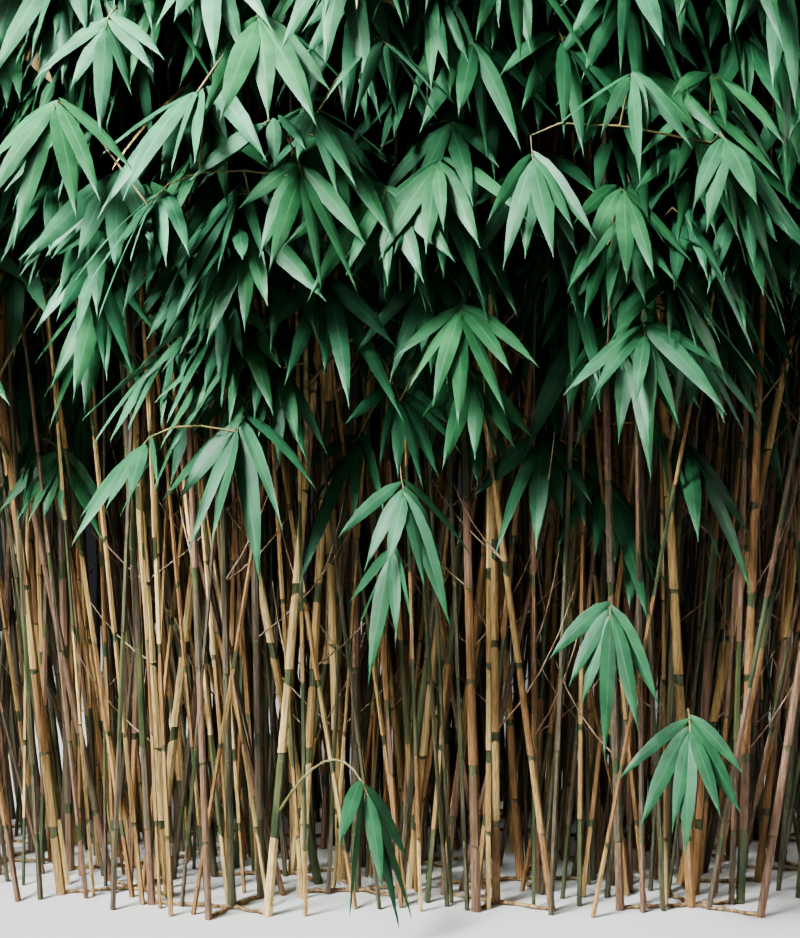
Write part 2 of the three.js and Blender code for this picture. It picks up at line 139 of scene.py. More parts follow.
class Cane:
    def __init__(self, tuft, item, foot, radius, height, bow, rings=PLAIN_RINGS, runner_to=None):
        self.tuft, self.item, self.foot = tuft, item, np.array(foot, dtype=float)
        self.radius, self.height, self.bow = radius, height, np.array(bow, dtype=float)
        self.shares, self.swell = (np.array(row, dtype=float) for row in rings)
        self.runner_to = self.foot if runner_to is None else runner_to
        self.lean = np.zeros(2)

    def stretch(self, z):
        share = np.asarray(z) / self.height
        upper = np.clip(np.searchsorted(self.shares, share), 1, len(self.shares) - 1)
        low, high = self.shares[upper - 1], self.shares[upper]
        return upper, low, high, (share - low) / (high - low)

    def centre(self, z):
        _, low, high, between = self.stretch(z)
        bow = self.height * (low**2 + between * (high**2 - low**2))
        return self.foot + np.multiply.outer(z, self.lean) + np.multiply.outer(bow, self.bow)

    def wall(self, z):
        upper, _, _, between = self.stretch(z)
        return self.radius * (self.swell[upper - 1] + between * (self.swell[upper] - self.swell[upper - 1]))

    def tip_is_covered(self):
        tip = self.centre(self.height) / (CROWN_HALF_WIDTH - TIP_COVER, CROWN_HALF_DEPTH - TIP_COVER)
        return outline(*tip, (self.height + TIP_COVER - CROWN_CENTRE_HEIGHT) / CROWN_RISE) >= 1


# %% The stand: which canes are there already, and whether one more fits
class Stand:
    def __init__(self):
        self.canes = []
        self.x = np.empty((0, len(LEVELS)))
        self.y = np.empty((0, len(LEVELS)))
        self.r = np.empty((0, len(LEVELS)))

    def rows(self, cane):
        inside = LEVELS < cane.height
        centre = cane.centre(LEVELS)
        return [np.where(inside, row, np.nan) for row in (centre[:, 0], centre[:, 1], cane.wall(LEVELS))]

    def has_room(self, cane, gap):
        x, y, r = self.rows(cane)
        return not (np.hypot(self.x - x, self.y - y) < self.r + r + gap).any()

    def runner_is_clear(self, cane):
        room = RUNNER_WIDTH + CANE_RADIUS + CANE_RADIUS_SPREAD + CANE_GAP
        points = cane.foot + np.linspace(0, 1, 21)[:, None] * (cane.runner_to - cane.foot)
        for other in self.canes:
            if other.tuft == cane.tuft:
                continue
            rest = other.runner_to - other.foot
            along = np.clip((points - other.foot) @ rest / max(1e-6, rest @ rest), 0, 1)
            near = other.foot + along[:, None] * rest
            if (np.linalg.norm(points - near, axis=1) < room).any():
                return False
        return True

    def add(self, cane):
        x, y, r = self.rows(cane)
        self.x, self.y, self.r = np.vstack([self.x, x]), np.vstack([self.y, y]), np.vstack([self.r, r])
        self.canes.append(cane)

    def settle(self, cane, gap, across=LEAN_ACROSS, deep=LEAN_DEEP, tries=LEAN_TRIES):
        out_x, out_y = cane.foot / PATCH
        for attempt in range(tries):
            trait = LEAN_TRAITS + 4 * attempt
            sway = chance(cane.item, trait) + chance(cane.item, trait + 1) - 1
            pitch = chance(cane.item, trait + 2) + chance(cane.item, trait + 3) - 1
            cane.lean = np.array([LEAN_OUT * out_x + across * sway, LEAN_OUT * out_y + deep * pitch])
            if cane.tip_is_covered() and self.has_room(cane, gap):
                self.add(cane)
                return True
        return False


# %% Plant the canes of the tufts
stand = Stand()
stand.add(Cane(0, 0, (0, 0), CANE_RADIUS + CANE_RADIUS_SPREAD, CANE_HEIGHT, (0, 0), FLARED_RINGS))
for tuft in range(1, TUFT_COUNT + 1):
    turn = tuft * GOLDEN_ANGLE
    across, deep = math.cos(turn), math.sin(turn)
    out = math.sqrt(tuft / (TUFT_COUNT + 0.5)) * outline(across, deep)
    middle = PATCH * out * (across, deep)
    for place in range(CANES_IN_TUFT):
        item = tuft * CANES_IN_TUFT + place
        part = (place + ARM_SWAY * (chance(item, 0) - 0.5)) / (CANES_IN_TUFT - 1)
        turn = 2 * math.pi * (part + chance(tuft, 1))
        arm = TUFT_REACH * (ARM + ARM_SPREAD * chance(item, 8)) if place else 0
        foot = middle + PATCH * arm * (math.cos(turn), math.sin(turn))
        rim = math.hypot(*(foot / PATCH))
        radius = CANE_RADIUS + CANE_RADIUS_SPREAD * (2 * chance(item, 2) - 1)
        height = CANE_HEIGHT - RIM_DROP * min(1, rim * rim)
        height = height + HEIGHT_SPREAD * (chance(item, 3) - SHORTER_SHARE)
        bow = (BOW + BOW_SPREAD * chance(item, 4)) * foot / PATCH
        cane = Cane(tuft, item, foot, radius, height, bow, runner_to=middle if place else None)
        if place == 0 or stand.runner_is_clear(cane):
            stand.settle(cane, CANE_GAP)
tuft_canes = list(stand.canes)
print("canes in the tufts:", len(tuft_canes))

# %% [markdown]
# Between the stout canes stand thinner ones, about as thick as a pencil. They are spread over the patch and
# just past its rim by a low-discrepancy sequence, which is even but has no pattern. They lean further.

# %% Thin canes between the tufts
THIN_CANES = 620
THIN_ITEMS = 2000
THIN_REACH = 1.06
THIN_HEIGHT = 1.55
THIN_HEIGHT_SPREAD = 0.55
THIN_RADIUS = 0.003
THIN_RADIUS_SPREAD = 0.0022
THIN_BOW = 0.06
THIN_GAP = 0.003
THIN_LEANS = {"across": 0.3, "deep": 0.16, "tries": 10}
LEFT_OUT_IN_FRONT = 0.6
PLASTIC = 1.32471795724
thin_canes = []
for i in range(1, 4 * THIN_CANES):
    if len(thin_canes) == THIN_CANES:
        break
    item = THIN_ITEMS + i
    x = THIN_REACH * (2 * ((0.5 + i / PLASTIC) % 1) - 1)
    y = THIN_REACH * (2 * ((0.5 + i / PLASTIC**2) % 1) - 1)
    in_front = 0.5 - 0.5 * y
    if 1 / outline(x, y) > THIN_REACH or chance(item, 5) < LEFT_OUT_IN_FRONT * in_front:
        continue
    foot = np.array([x, y])
    height = THIN_HEIGHT + THIN_HEIGHT_SPREAD * chance(item, 3)
    radius = THIN_RADIUS + THIN_RADIUS_SPREAD * chance(item, 2)
    cane = Cane(-1 - i, item, foot * PATCH, radius, height, THIN_BOW * foot)
    if stand.settle(cane, THIN_GAP, **THIN_LEANS):
        thin_canes.append(cane)
print("thin canes:", len(thin_canes))


# %% [markdown]
# ## One internode
# A bamboo cane is a row of internodes. At each node a dry sheath is fixed all round by its thick base edge.
# It hugs the cane upwards and ends in a slanting edge short of the next node, so that a band of green wall
# shows there, and then the cane swells into the dark node ring. The model starts as one ring of corners,
# eight for a stout cane and five for a thin one. The ring is extruded upwards again and again, and widened
# or narrowed each time. The slanting edge is a turned ring.


# %% Start each new piece on its own
def alone(piece):
    bpy.ops.object.select_all(action="DESELECT")
    piece.select_set(True)
    bpy.context.view_layer.objects.active = piece


# %% The profile of an internode
SHEATH_SLANT = 0.028
FOOT_SWELL = 0.9
PROFILE = [
    # rise within the internode, radius as a share of the wall's, slant of the ring, and what is below it
    (0.0, 1.06, 0, "sheath"),
    (0.03, 0.98, 0, "sheath"),
    (0.9, 0.92, SHEATH_SLANT, "sheath"),
    (0.905, 0.83, SHEATH_SLANT, "sheath"),
    (0.98, 0.84, 0, "wall"),
    (1.0, 0.96, 0, "node"),
]
THIN_PROFILE = [PROFILE[0], PROFILE[2], PROFILE[4], PROFILE[5]]


# %% Read a piece back as arrays
def arrays_of(piece):
    corners = np.array([v.co for v in piece.data.vertices])
    faces = np.array([f.vertices for f in piece.data.polygons])
    return corners, faces


# %% Model an internode, and keep it as arrays
class Internode:
    def __init__(self, sides, profile):
        bpy.ops.object.select_all(action="DESELECT")
        bpy.ops.mesh.primitive_circle_add(vertices=sides, radius=FOOT_SWELL, location=(0, 0, 0))
        piece = bpy.context.object
        bpy.ops.object.mode_set(mode="EDIT")
        bpy.ops.mesh.select_all(action="SELECT")
        rise_now, swell_now, slant_now = 0.0, FOOT_SWELL, 0.0
        for rise, swell, slant, _ in profile:
            bpy.ops.mesh.extrude_region_move(TRANSFORM_OT_translate={"value": (0, 0, rise - rise_now)})
            middle, wider, turn = (0, 0, rise), swell / swell_now, slant - slant_now
            bpy.ops.transform.resize(value=(wider, wider, 1), center_override=middle)
            if turn:
                bpy.ops.transform.rotate(value=turn, orient_axis="X", center_override=middle)
            rise_now, swell_now, slant_now = rise, swell, slant
        bpy.ops.mesh.normals_make_consistent(inside=False)
        bpy.ops.object.mode_set(mode="OBJECT")
        corners, self.faces = arrays_of(piece)
        bpy.data.objects.remove(piece)
        self.rise = corners[:, 2]
        self.swell = np.hypot(corners[:, 0], corners[:, 1])
        self.angle = np.arctan2(corners[:, 1], corners[:, 0])
        slants = np.array([0] + [slant for _, _, slant, _ in profile])
        self.at_sheath_end = slants[np.arange(len(corners)) // sides] != 0
        bands = np.array([kind for _, _, _, kind in profile])
        self.kind = bands[self.faces.min(axis=1) // sides]
        a, b, c = (corners[self.faces[:, k]] for k in range(3))
        outward = (np.cross(b - a, c - a)[:, :2] * a[:, :2]).sum(axis=1)
        if outward.sum() < 0:
            self.faces = self.faces[:, ::-1]


stout_internode = Internode(8, PROFILE)
thin_internode = Internode(5, THIN_PROFILE)
print("faces of an internode:", len(stout_internode.faces), "stout,", len(thin_internode.faces), "thin")

# %% [markdown]
# ## Finishes
# A papery sheath is cream when fresh and bleaches or browns with age, to straw, orange, pinkish brown or
# grey. It shows fine fibres that run up the cane, so its pattern is a noise stretched along the height,
# which colours it and also lifts it a little as bump. Rain and soil darken it in soft blotches.


# %% A helper for node trees
class Finish:
    def __init__(self, name, roughness, specular=0.4):
        self.material = bpy.data.materials.new(name)
        self.material.use_nodes = True
        self.tree = self.material.node_tree
        self.shader = self.tree.nodes["Principled BSDF"]
        self.shader.inputs["Roughness"].default_value = roughness
        self.shader.inputs["Specular IOR Level"].default_value = specular

    def node(self, kind, **inputs):
        node = self.tree.nodes.new(kind)
        for name, value in inputs.items():
            socket = node.inputs[name]
            if isinstance(value, bpy.types.NodeSocket):
                self.tree.links.new(value, socket)
            else:
                socket.default_value = value
        return node

    def place(self, scale):
        where = self.node("ShaderNodeTexCoord").outputs["Object"]
        return self.node("ShaderNodeMapping", Vector=where, Scale=scale).outputs["Vector"]

    def noise(self, scale, detail, stretch=(1, 1, 1)):
        return self.node(
            "ShaderNodeTexNoise", Vector=self.place(stretch), Scale=scale, Detail=detail
        ).outputs["Fac"]

    def blend(self, share, first, second, low=0.35, high=0.65):
        ramp = self.node("ShaderNodeMapRange", Value=share)
        ramp.inputs["From Min"].default_value = low
        ramp.inputs["From Max"].default_value = high
        mix = self.tree.nodes.new("ShaderNodeMix")
        mix.data_type = "RGBA"
        self.tree.links.new(ramp.outputs["Result"], mix.inputs["Factor"])
        for socket, colour in ((mix.inputs["A"], first), (mix.inputs["B"], second)):
            if isinstance(colour, bpy.types.NodeSocket):
                self.tree.links.new(colour, socket)
            else:
                socket.default_value = (*colour, 1)
        return mix.outputs["Result"]

    def colour(self, socket):
        self.tree.links.new(socket, self.shader.inputs["Base Color"])

    def bump(self, height, strength, distance):
        node = self.node("ShaderNodeBump", Height=height, Strength=strength, Distance=distance)
        self.tree.links.new(node.outputs["Normal"], self.shader.inputs["Normal"])


# %% Sheaths in their ages
SHEATH_COLOURS = {
    "cream_sheath": (0.50, 0.345, 0.15),
    "straw_sheath": (0.33, 0.20, 0.075),
    "orange_sheath": (0.23, 0.117, 0.042),
    "rosy_brown_sheath": (0.17, 0.093, 0.054),
    "grey_brown_sheath": (0.088, 0.063, 0.037),
    "olive_sheath": (0.066, 0.058, 0.027),
}


def sheath_finish(name, base):
    finish = Finish(name, roughness=0.52, specular=0.35)
    fibre = finish.noise(scale=1.0, detail=4.0, stretch=(420, 420, 9))
    blotch = finish.noise(scale=14.0, detail=3.0, stretch=(1, 1, 0.35))
    dark = tuple(0.62 * part for part in base)
    pale = tuple(min(1, 1.18 * part + 0.02) for part in base)
    fibres = finish.blend(fibre, dark, pale, low=0.36, high=0.6)
    soiled = (0.5 * base[0], 0.46 * base[1], 0.42 * base[2])
    finish.colour(finish.blend(blotch, fibres, soiled, low=0.58, high=0.74))
    finish.bump(fibre, strength=0.35, distance=0.0006)
    return finish.material


sheaths = [sheath_finish(name, base) for name, base in SHEATH_COLOURS.items()]


# %% Finishes in two shades: the green wall, the dark node and the runner
def patchy_finish(name, dark, pale, patches, roughness, specular=0.4, low=0.4, high=0.62):
    finish = Finish(name, roughness, specular)
    pattern = finish.noise(**patches)
    finish.colour(finish.blend(pattern, dark, pale, low, high))
    return finish, pattern


WALL_COLOURS = (0.03, 0.045, 0.016), (0.10, 0.105, 0.045)
NODE_COLOURS = (0.05, 0.038, 0.02), (0.18, 0.12, 0.06)
RUNNER_COLOURS = (0.10, 0.06, 0.03), (0.34, 0.23, 0.12)
BLOOM = {"scale": 30.0, "detail": 3.0, "stretch": (1, 1, 0.3)}
GRIME = {"scale": 90.0, "detail": 2.0}
SCALES = {"scale": 140.0, "detail": 3.0}
wall_finish, _ = patchy_finish("green_cane_wall", *WALL_COLOURS, BLOOM, 0.4, 0.5, high=0.66)
node_finish, _ = patchy_finish("dark_node_ring", *NODE_COLOURS, GRIME, 0.7, 0.3)
runner_finish, scales = patchy_finish("brown_runner", *RUNNER_COLOURS, SCALES, 0.75, 0.25)
runner_finish.bump(scales, strength=0.4, distance=0.001)
cane_finishes = sheaths + [wall_finish.material, node_finish.material, runner_finish.material]
WALL, NODE_RING, RUNNER = (len(sheaths) + i for i in range(3))


# %% [markdown]
# ## Canes from one internode
# A clump has thousands of internodes, so none is copied as an object. The pattern's corners are mapped
# onto every stretch between two nodes at once, with arrays, and each tuft becomes one mesh. The sheath of
# each internode takes its own turn, length and age, and some internodes have lost theirs.


# %% Make a mesh from arrays
def new_piece(name, corners, faces, finishes, finish_of_face=None):
    mesh = bpy.data.meshes.new(name)
    mesh.vertices.add(len(corners))
    mesh.vertices.foreach_set("co", np.ascontiguousarray(corners, dtype=np.float32).ravel())
    mesh.loops.add(faces.size)
    mesh.loops.foreach_set("vertex_index", np.ascontiguousarray(faces, dtype=np.int32).ravel())
    mesh.polygons.add(len(faces))
    starts = np.arange(len(faces), dtype=np.int32) * faces.shape[1]
    mesh.polygons.foreach_set("loop_start", starts)
    for material in finishes:
        mesh.materials.append(material)
    if finish_of_face is not None:
        mesh.polygons.foreach_set("material_index", np.asarray(finish_of_face, dtype=np.int32))
    mesh.polygons.foreach_set("use_smooth", np.ones(len(faces), dtype=bool))
    mesh.update(calc_edges=True)
    piece = bpy.data.objects.new(name, mesh)
    bpy.context.scene.collection.objects.link(piece)
    return piece


# %% Tubes of few sides along many lines at once
UP = np.array([0.0, 0.0, 1.0])
STEEP = 0.9


def tubes(lines, radii, sides):
    """Lines are tubes by stations by three. Each ring's side is carried over from the ring before."""
    along = unit(np.gradient(lines, axis=1))
    steep = np.abs(along[:, 0, 2:]) > STEEP
    side = np.cross(np.where(steep, (1.0, 0.0, 0.0), UP), along[:, 0])
    angle = np.arange(sides)[:, None] * 2 * math.pi / sides
    rings = []
    for k in range(lines.shape[1]):
        side = unit(side - along[:, k] * (side * along[:, k]).sum(axis=1, keepdims=True))
        lift = np.cross(side, along[:, k])
        ring = side[:, None] * np.cos(angle) + lift[:, None] * np.sin(angle)
        rings.append(lines[:, None, k] + radii[:, k, None, None] * ring)
    counts = (len(lines), lines.shape[1] - 1, sides)
    tube, k, j = (grid.ravel() for grid in np.indices(counts))
    start = (tube * lines.shape[1] + k) * sides
    after = (j + 1) % sides
    faces = np.stack([start + sides + j, start + sides + after, start + after, start + j], axis=1)
    return np.stack(rings, axis=1).reshape(-1, 3), faces


def joined(parts):
    starts = np.cumsum([0] + [len(corners) for corners, _ in parts])
    faces = np.vstack([faces + start for (_, faces), start in zip(parts, starts)])
    return np.vstack([corners for corners, _ in parts]), faces


# %% Runners: knobbly brown ridges along the ground
RUNNER_RADIUS = 0.0036
RUNNER_STATIONS = 12
RUNNER_WAVE = 0.0022
RUNNER_LIFT = 0.0022
RUNNER_KNOBS = 0.0016
RUNNER_WAIST = 0.82
KNOB_SWELL = 0.3
LOWEST_CORNER = 0.0003


def runner_tubes(canes):
    share = np.linspace(0, 1, RUNNER_STATIONS)
    lines, radii = [], []
    for cane in canes:
        line = np.zeros((len(share), 3))
        way = cane.runner_to - cane.foot
        wave = RUNNER_WAVE * np.sin(2 * math.pi * (2 * share + chance(cane.item, 23)))
        line[:, :2] = cane.foot + share[:, None] * way + wave[:, None] * unit(np.array([-way[1], way[0]]))
        knobs = chance(cane.item * 17 + np.arange(len(share)), 19)
        line[:, 2] = RUNNER_LIFT + RUNNER_KNOBS * knobs
        lines.append(line)
        radii.append(RUNNER_RADIUS * (RUNNER_WAIST + KNOB_SWELL * knobs))
    corners, faces = tubes(np.array(lines), np.array(radii), 8)
    corners[:, 2] = np.maximum(corners[:, 2], LOWEST_CORNER)
    return corners, faces


# %% Where the middle of a cane and its nodes are
CORNER_SOFTNESS = 0.03
BOW_START = PLAIN_RINGS[0][1]
INTERNODE_LENGTH = 0.142
INTERNODE_SPREAD = 0.03
FEWEST_INTERNODES = 6
SHORT_AT_ENDS = 0.92
LONGER_MIDWAY = 0.26
UNEVENNESS = 0.16


def smooth_centre(cane, z):
    share = z / cane.height
    bend = BOW_START * share + CORNER_SOFTNESS * np.log1p(np.exp((share - BOW_START) / CORNER_SOFTNESS))
    bow = cane.height * bend
    return cane.foot + z[..., None] * cane.lean + bow[..., None] * cane.bow


def node_heights(cane):
    usual = INTERNODE_LENGTH + INTERNODE_SPREAD * chance(cane.item, 8)
    count = max(FEWEST_INTERNODES, round(cane.height / usual))
    k = np.arange(count)
    lengths = SHORT_AT_ENDS + LONGER_MIDWAY * np.sin(math.pi * (k + 0.5) / count)
    lengths = lengths + UNEVENNESS * (chance(cane.item * 31 + k, 9) - 0.5)
    heights = np.concatenate([[0], np.cumsum(lengths)])
    return heights * cane.height / heights[-1]


# %% The age of each sheath, from cream at 0 to olive at 1, with painted shade at the back and on the right
CANE_AGE = 0.84
YOUNG_BIAS = 1.45
SHEATH_AGE = 0.26
PAINTED_SHADE_WEIGHT = 0.42
PAINTED_SHADE_TO_BACK = 0.5
PAINTED_SHADE_TO_RIGHT = 0.3


def sheath_ages_and_painted_shade(cane, tags, older):
    """A cane is cream when young and brown all over when old, and it is painted browner at the back and
    on the right, as painted shade. One internode may differ from the next."""
    # Painted shade: canes further back and further right are dealt browner sheaths.
    shaded = 0.5 + PAINTED_SHADE_TO_BACK * cane.foot[1] / STAND_HALF_DEPTH
    shaded = shaded + PAINTED_SHADE_TO_RIGHT * cane.foot[0] / STAND_HALF_WIDTH
    age = older + CANE_AGE * chance(cane.item, 13) ** YOUNG_BIAS
    age = age + SHEATH_AGE * (chance(tags, 14) - 0.5) + PAINTED_SHADE_WEIGHT * shaded
    return np.clip((age * len(sheaths)).astype(int), 0, len(sheaths) - 1)


# %% Dress canes with internodes
LONGEST_SHEATH = 1.07
SHEATH_SPREAD = 0.24
BARE_SWELL = 0.98
BARE_HEIGHT = 0.55
BARE_ABOVE = 0.25
MOST_SWELL = 1.3
SMOOTH_ANGLE = math.radians(35)


def dress_canes(name, canes, pattern, bare_share, older):
    corners, faces, finish_of_face = [], [], []
    start = 0
    for cane in canes:
        heights = node_heights(cane)
        count = len(heights) - 1
        tags = cane.item * 41 + np.arange(count)
        low, length = heights[:-1, None], np.diff(heights)[:, None]
        sheath_end = LONGEST_SHEATH - SHEATH_SPREAD * chance(tags, 10)[:, None] ** 3
        rise = np.where(pattern.at_sheath_end, pattern.rise * sheath_end, pattern.rise)
        z = low + rise * length
        bare = chance(tags, 11)[:, None] < bare_share + BARE_ABOVE * (low / cane.height > BARE_HEIGHT)
        swell = np.where(bare, np.minimum(pattern.swell, BARE_SWELL), pattern.swell)
        wall = cane.wall(np.clip(z, 0, cane.height)) * swell
        wall = np.minimum(wall, cane.radius * MOST_SWELL)
        centre = smooth_centre(cane, z)
        angle = pattern.angle + 2 * math.pi * chance(tags, 12)[:, None]
        x = centre[..., 0] + wall * np.cos(angle)
        y = centre[..., 1] + wall * np.sin(angle)
        corners.append(np.stack([x, y, np.maximum(z, 0)], axis=-1).reshape(-1, 3))
        first = start + np.arange(count)[:, None, None] * len(pattern.rise)
        faces.append((pattern.faces + first).reshape(-1, 4))
        start += count * len(pattern.rise)
        # Each sheath takes the finish of its age, darkened at the back and on the right by painted shade.
        sheath_age_and_shade = np.where(bare[:, 0], WALL, sheath_ages_and_painted_shade(cane, tags, older))[:, None]
        kinds = np.where(pattern.kind == "sheath", sheath_age_and_shade, np.where(pattern.kind == "wall", WALL, NODE_RING))
        finish_of_face.append(kinds.ravel())
    parts = [(np.vstack(corners), np.vstack(faces))]
    on_runners = [cane for cane in canes if (cane.runner_to != cane.foot).any()]
    if on_runners:
        parts.append(runner_tubes(on_runners))
        finish_of_face.append(np.full(len(parts[1][1]), RUNNER))
    piece = new_piece(name, *joined(parts), cane_finishes, np.concatenate(finish_of_face))
    alone(piece)
    bpy.ops.object.shade_smooth_by_angle(angle=SMOOTH_ANGLE)
    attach(piece, "root")
    return piece


# %% Dress the main culm, every tuft and the thin canes
BARE_SHARE = 0.08
TUFT_OLDER = 0.04
THIN_BARE_SHARE = 0.14
THIN_OLDER = 0.13
THIN_PIECES = 3
culm = dress_canes("main_culm_dressed", tuft_canes[:1], stout_internode, BARE_SHARE, 0)
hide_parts("main_culm")
for tuft in range(1, TUFT_COUNT + 1):
    mates = [cane for cane in tuft_canes if cane.tuft == tuft]
    canes = dress_canes(f"sheathed_canes_{tuft}", mates, stout_internode, BARE_SHARE, TUFT_OLDER)
    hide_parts(f"culm_tuft_{tuft}")
for i in range(THIN_PIECES):
    share = thin_canes[i::THIN_PIECES]
    dress_canes(f"thin_canes_{i + 1}", share, thin_internode, THIN_BARE_SHARE, THIN_OLDER)
cane_triangles = sum(2 * len(o.data.polygons) for o in bpy.data.objects if "canes" in o.name)
print("cane triangles:", cane_triangles)

# %% [markdown]
# ## The crown's envelope and its masses
# The leaves fill a round-shouldered envelope over the canes. It is shared out among the masses: a hand of
# leaves belongs to the mass whose middle is nearest to it, so no part of the envelope is left bare.

# %% Masses of the crown, in metres
LOWEST_SPRAY = -0.74
SPRAY_COUNT = 116
SPRAY_DEPTH = 0.84
SPRAY_SINK = 0.12
SPRAY_BIAS = 0.8
RINGS = [
    # name, how many, height, distance from the axis as a share, and turn of the first one
    ("foliage_low", 9, 1.04, 0.7, 0.5),
    ("foliage_mid", 9, 1.76, 0.66, 0),
    ("foliage_high", 5, 2.42, 0.58, 0.25),
    ("foliage_peak", 1, 2.6, 0, 0),
]


def crown_point(rise, turn, share):
    level = np.sqrt(1 - rise * rise)
    across, deep = level * np.cos(turn), level * np.sin(turn)
    out = share * outline(across, deep, rise)
    tall = np.where(rise > 0, CROWN_RISE, CROWN_DROP)
    x = CROWN_HALF_WIDTH * out * across
    y = CROWN_HALF_DEPTH * out * deep
    return np.stack([x, y, CROWN_CENTRE_HEIGHT + tall * out * rise], axis=-1)


def in_crown(points):
    up = points[..., 2] - CROWN_CENTRE_HEIGHT
    rise = up / np.where(up > 0, CROWN_RISE, CROWN_DROP)
    return outline(points[..., 0] / CROWN_HALF_WIDTH, points[..., 1] / CROWN_HALF_DEPTH, rise) >= 1


mass_names, mass_centres = [], []
for name, count, height, depth, start in RINGS:
    for i in range(count):
        turn = (i + start) / count * 2 * math.pi
        across, deep = math.cos(turn), math.sin(turn)
        up = height - CROWN_CENTRE_HEIGHT
        lift = abs(up / (CROWN_RISE if up > 0 else CROWN_DROP)) ** SQUARENESS
        out = depth * outline(across, deep) * (1 - lift) ** (1 / SQUARENESS)
        mass_names.append(f"{name}_{i + 1}" if count > 1 else name)
        mass_centres.append((CROWN_HALF_WIDTH * out * across, CROWN_HALF_DEPTH * out * deep, height))
mass_centres = np.array(mass_centres)
print("masses:", len(mass_names))


# %% Which mass a point belongs to, and how far it is from the border
def room_to_border(points, mass):
    from_own = ((points - mass_centres[mass]) ** 2).sum(axis=-1)
    room = np.full(from_own.shape, np.inf)
    for other in range(len(mass_centres)):
        if other == mass:
            continue
        apart = np.linalg.norm(mass_centres[mass] - mass_centres[other])
        from_other = ((points - mass_centres[other]) ** 2).sum(axis=-1)
        room = np.minimum(room, (from_other - from_own) / (2 * apart))
    return room


def nearest_mass(points):
    distance = ((points[..., None, :] - mass_centres) ** 2).sum(axis=-1)
    return distance.argmin(axis=-1)


# %% Whether points are clear of the canes
def clear_of_canes(points, room, canes):
    """Tests all points against all canes at once: rows are canes and columns are points."""
    x, y, z = points.reshape(-1, 3).T
    room = np.broadcast_to(room, points.shape[:-1]).ravel()
    rows = [(*one.foot, *one.lean, *one.bow, one.height, one.radius) for one in canes]
    foot_x, foot_y, lean_x, lean_y, bow_x, bow_y, height, radius = np.array(rows).T[..., None]
    level = np.clip(z, 0, height)
    shares, swell = (np.array(row) for row in PLAIN_RINGS)
    bow = height * np.interp(level / height, shares, shares**2)
    wall = radius * np.interp(level / height, shares, swell)
    apart = np.hypot(x - foot_x - lean_x * level - bow_x * bow, y - foot_y - lean_y * level - bow_y * bow)
    met = (apart <= wall + room) & (z <= height + room)
    return ~met.any(axis=0).reshape(points.shape[:-1])


# %% [markdown]
# ## Stems and first twigs
# Each mass hangs on one stem. It springs from the nearest cane that lets it pass, below the mass, or goes on
# from a cane's tip. Twigs part from it to the places where the faceted part has its hands of leaves.

# %% Arching limbs, by the rule of the source
STEM_DROP = 0.27
STEM_RADIUS = 0.005
STEM_TIP_RADIUS = 0.0036
TWIG_RADIUS = 0.0032
TWIG_TIP_RADIUS = 0.0026
STEM_OUT = 0.72
STEM_UP = 0.69
TIP_RISE = 8
JOINT_GAP = 0.0004
LEAF_GAP = 0.005
BORDER_GAP = 0.0005
LONGEST_STEP = 0.012


def arch(start, knee, end, count):
    t = np.linspace(0, 1, count)[:, None]
    return (1 - t) ** 2 * start + 2 * t * (1 - t) * knee + t**2 * end


def line_is_clear(line, radii, canes):
    for i in range(1, len(line)):
        steps = math.ceil(np.linalg.norm(line[i] - line[i - 1]) / LONGEST_STEP) + 1
        t = np.linspace(0, 1, steps)[:, None]
        points = line[i - 1] + t * (line[i] - line[i - 1])
        if not clear_of_canes(points, radii[i] + LEAF_GAP, canes).all():
            return False
    return True


# %% The stem of a mass
def all_but(cane):
    return [one for one in tuft_canes if one is not cane]


def stem_of(mass):
    centre = mass_centres[mass]
    starts = []
    for cane in tuft_canes:
        z = min(centre[2] - STEM_DROP, cane.height)
        start = np.array([*cane.centre(z), z])
        starts.append((np.linalg.norm(start - centre), cane, start, z == cane.height))
    for away, cane, start, from_tip in sorted(starts, key=lambda row: row[0]):
        straight_below = (start[:2] == centre[:2]).all()
        if straight_below and not from_tip:
            continue
        if from_tip:
            radius = float(cane.wall(cane.height))
            start = start + UP * JOINT_GAP
            risen = start + UP * TIP_RISE * radius
            knee = risen + UP * np.linalg.norm(risen - centre) / 2
            line = np.vstack([start, arch(risen, knee, centre, 3)])
            radii = np.array([radius, radius, (radius + STEM_TIP_RADIUS) / 2, STEM_TIP_RADIUS])
        else:
            heading = unit((centre - start) * (1, 1, 0)) * STEM_OUT + UP * STEM_UP
            line = arch(start, start + heading * away / 2, centre, 4)
            radii = np.linspace(STEM_RADIUS, STEM_TIP_RADIUS, 4)
        inside = (room_to_border(line, mass) > radii + BORDER_GAP).all()
        if inside and line_is_clear(line, radii, all_but(cane)):
            return line, radii
    raise ValueError(f"no cane carries {mass_names[mass]}")


# %% Where first twigs leave the stem and where they end
def spring_point(line, share):
    along = 1 + share * (len(line) - 2)
    before = min(len(line) - 2, int(along))
    return line[before] + (along - before) * (line[before + 1] - line[before])


item = np.arange(SPRAY_COUNT)
rise = LOWEST_SPRAY + (1 - LOWEST_SPRAY) * ((item + 0.5) / SPRAY_COUNT) ** SPRAY_BIAS
first_apexes = crown_point(rise, item * GOLDEN_ANGLE, SPRAY_DEPTH - SPRAY_SINK * chance(item, 7))
first_owner = nearest_mass(first_apexes)
stems = [stem_of(mass) for mass in range(len(mass_names))]
print("stems:", len(stems))

# %% [markdown]
# ## One leaf
# The leaf is long and narrow, widest two fifths of the way out, with a fine drawn-out tip and a narrow foot.
# It is a flat grid of two strips, each row scaled to the leaf's width there. The middle line sinks a little,
# because the blade folds along its midrib. The bend under its own weight comes later, leaf by leaf.

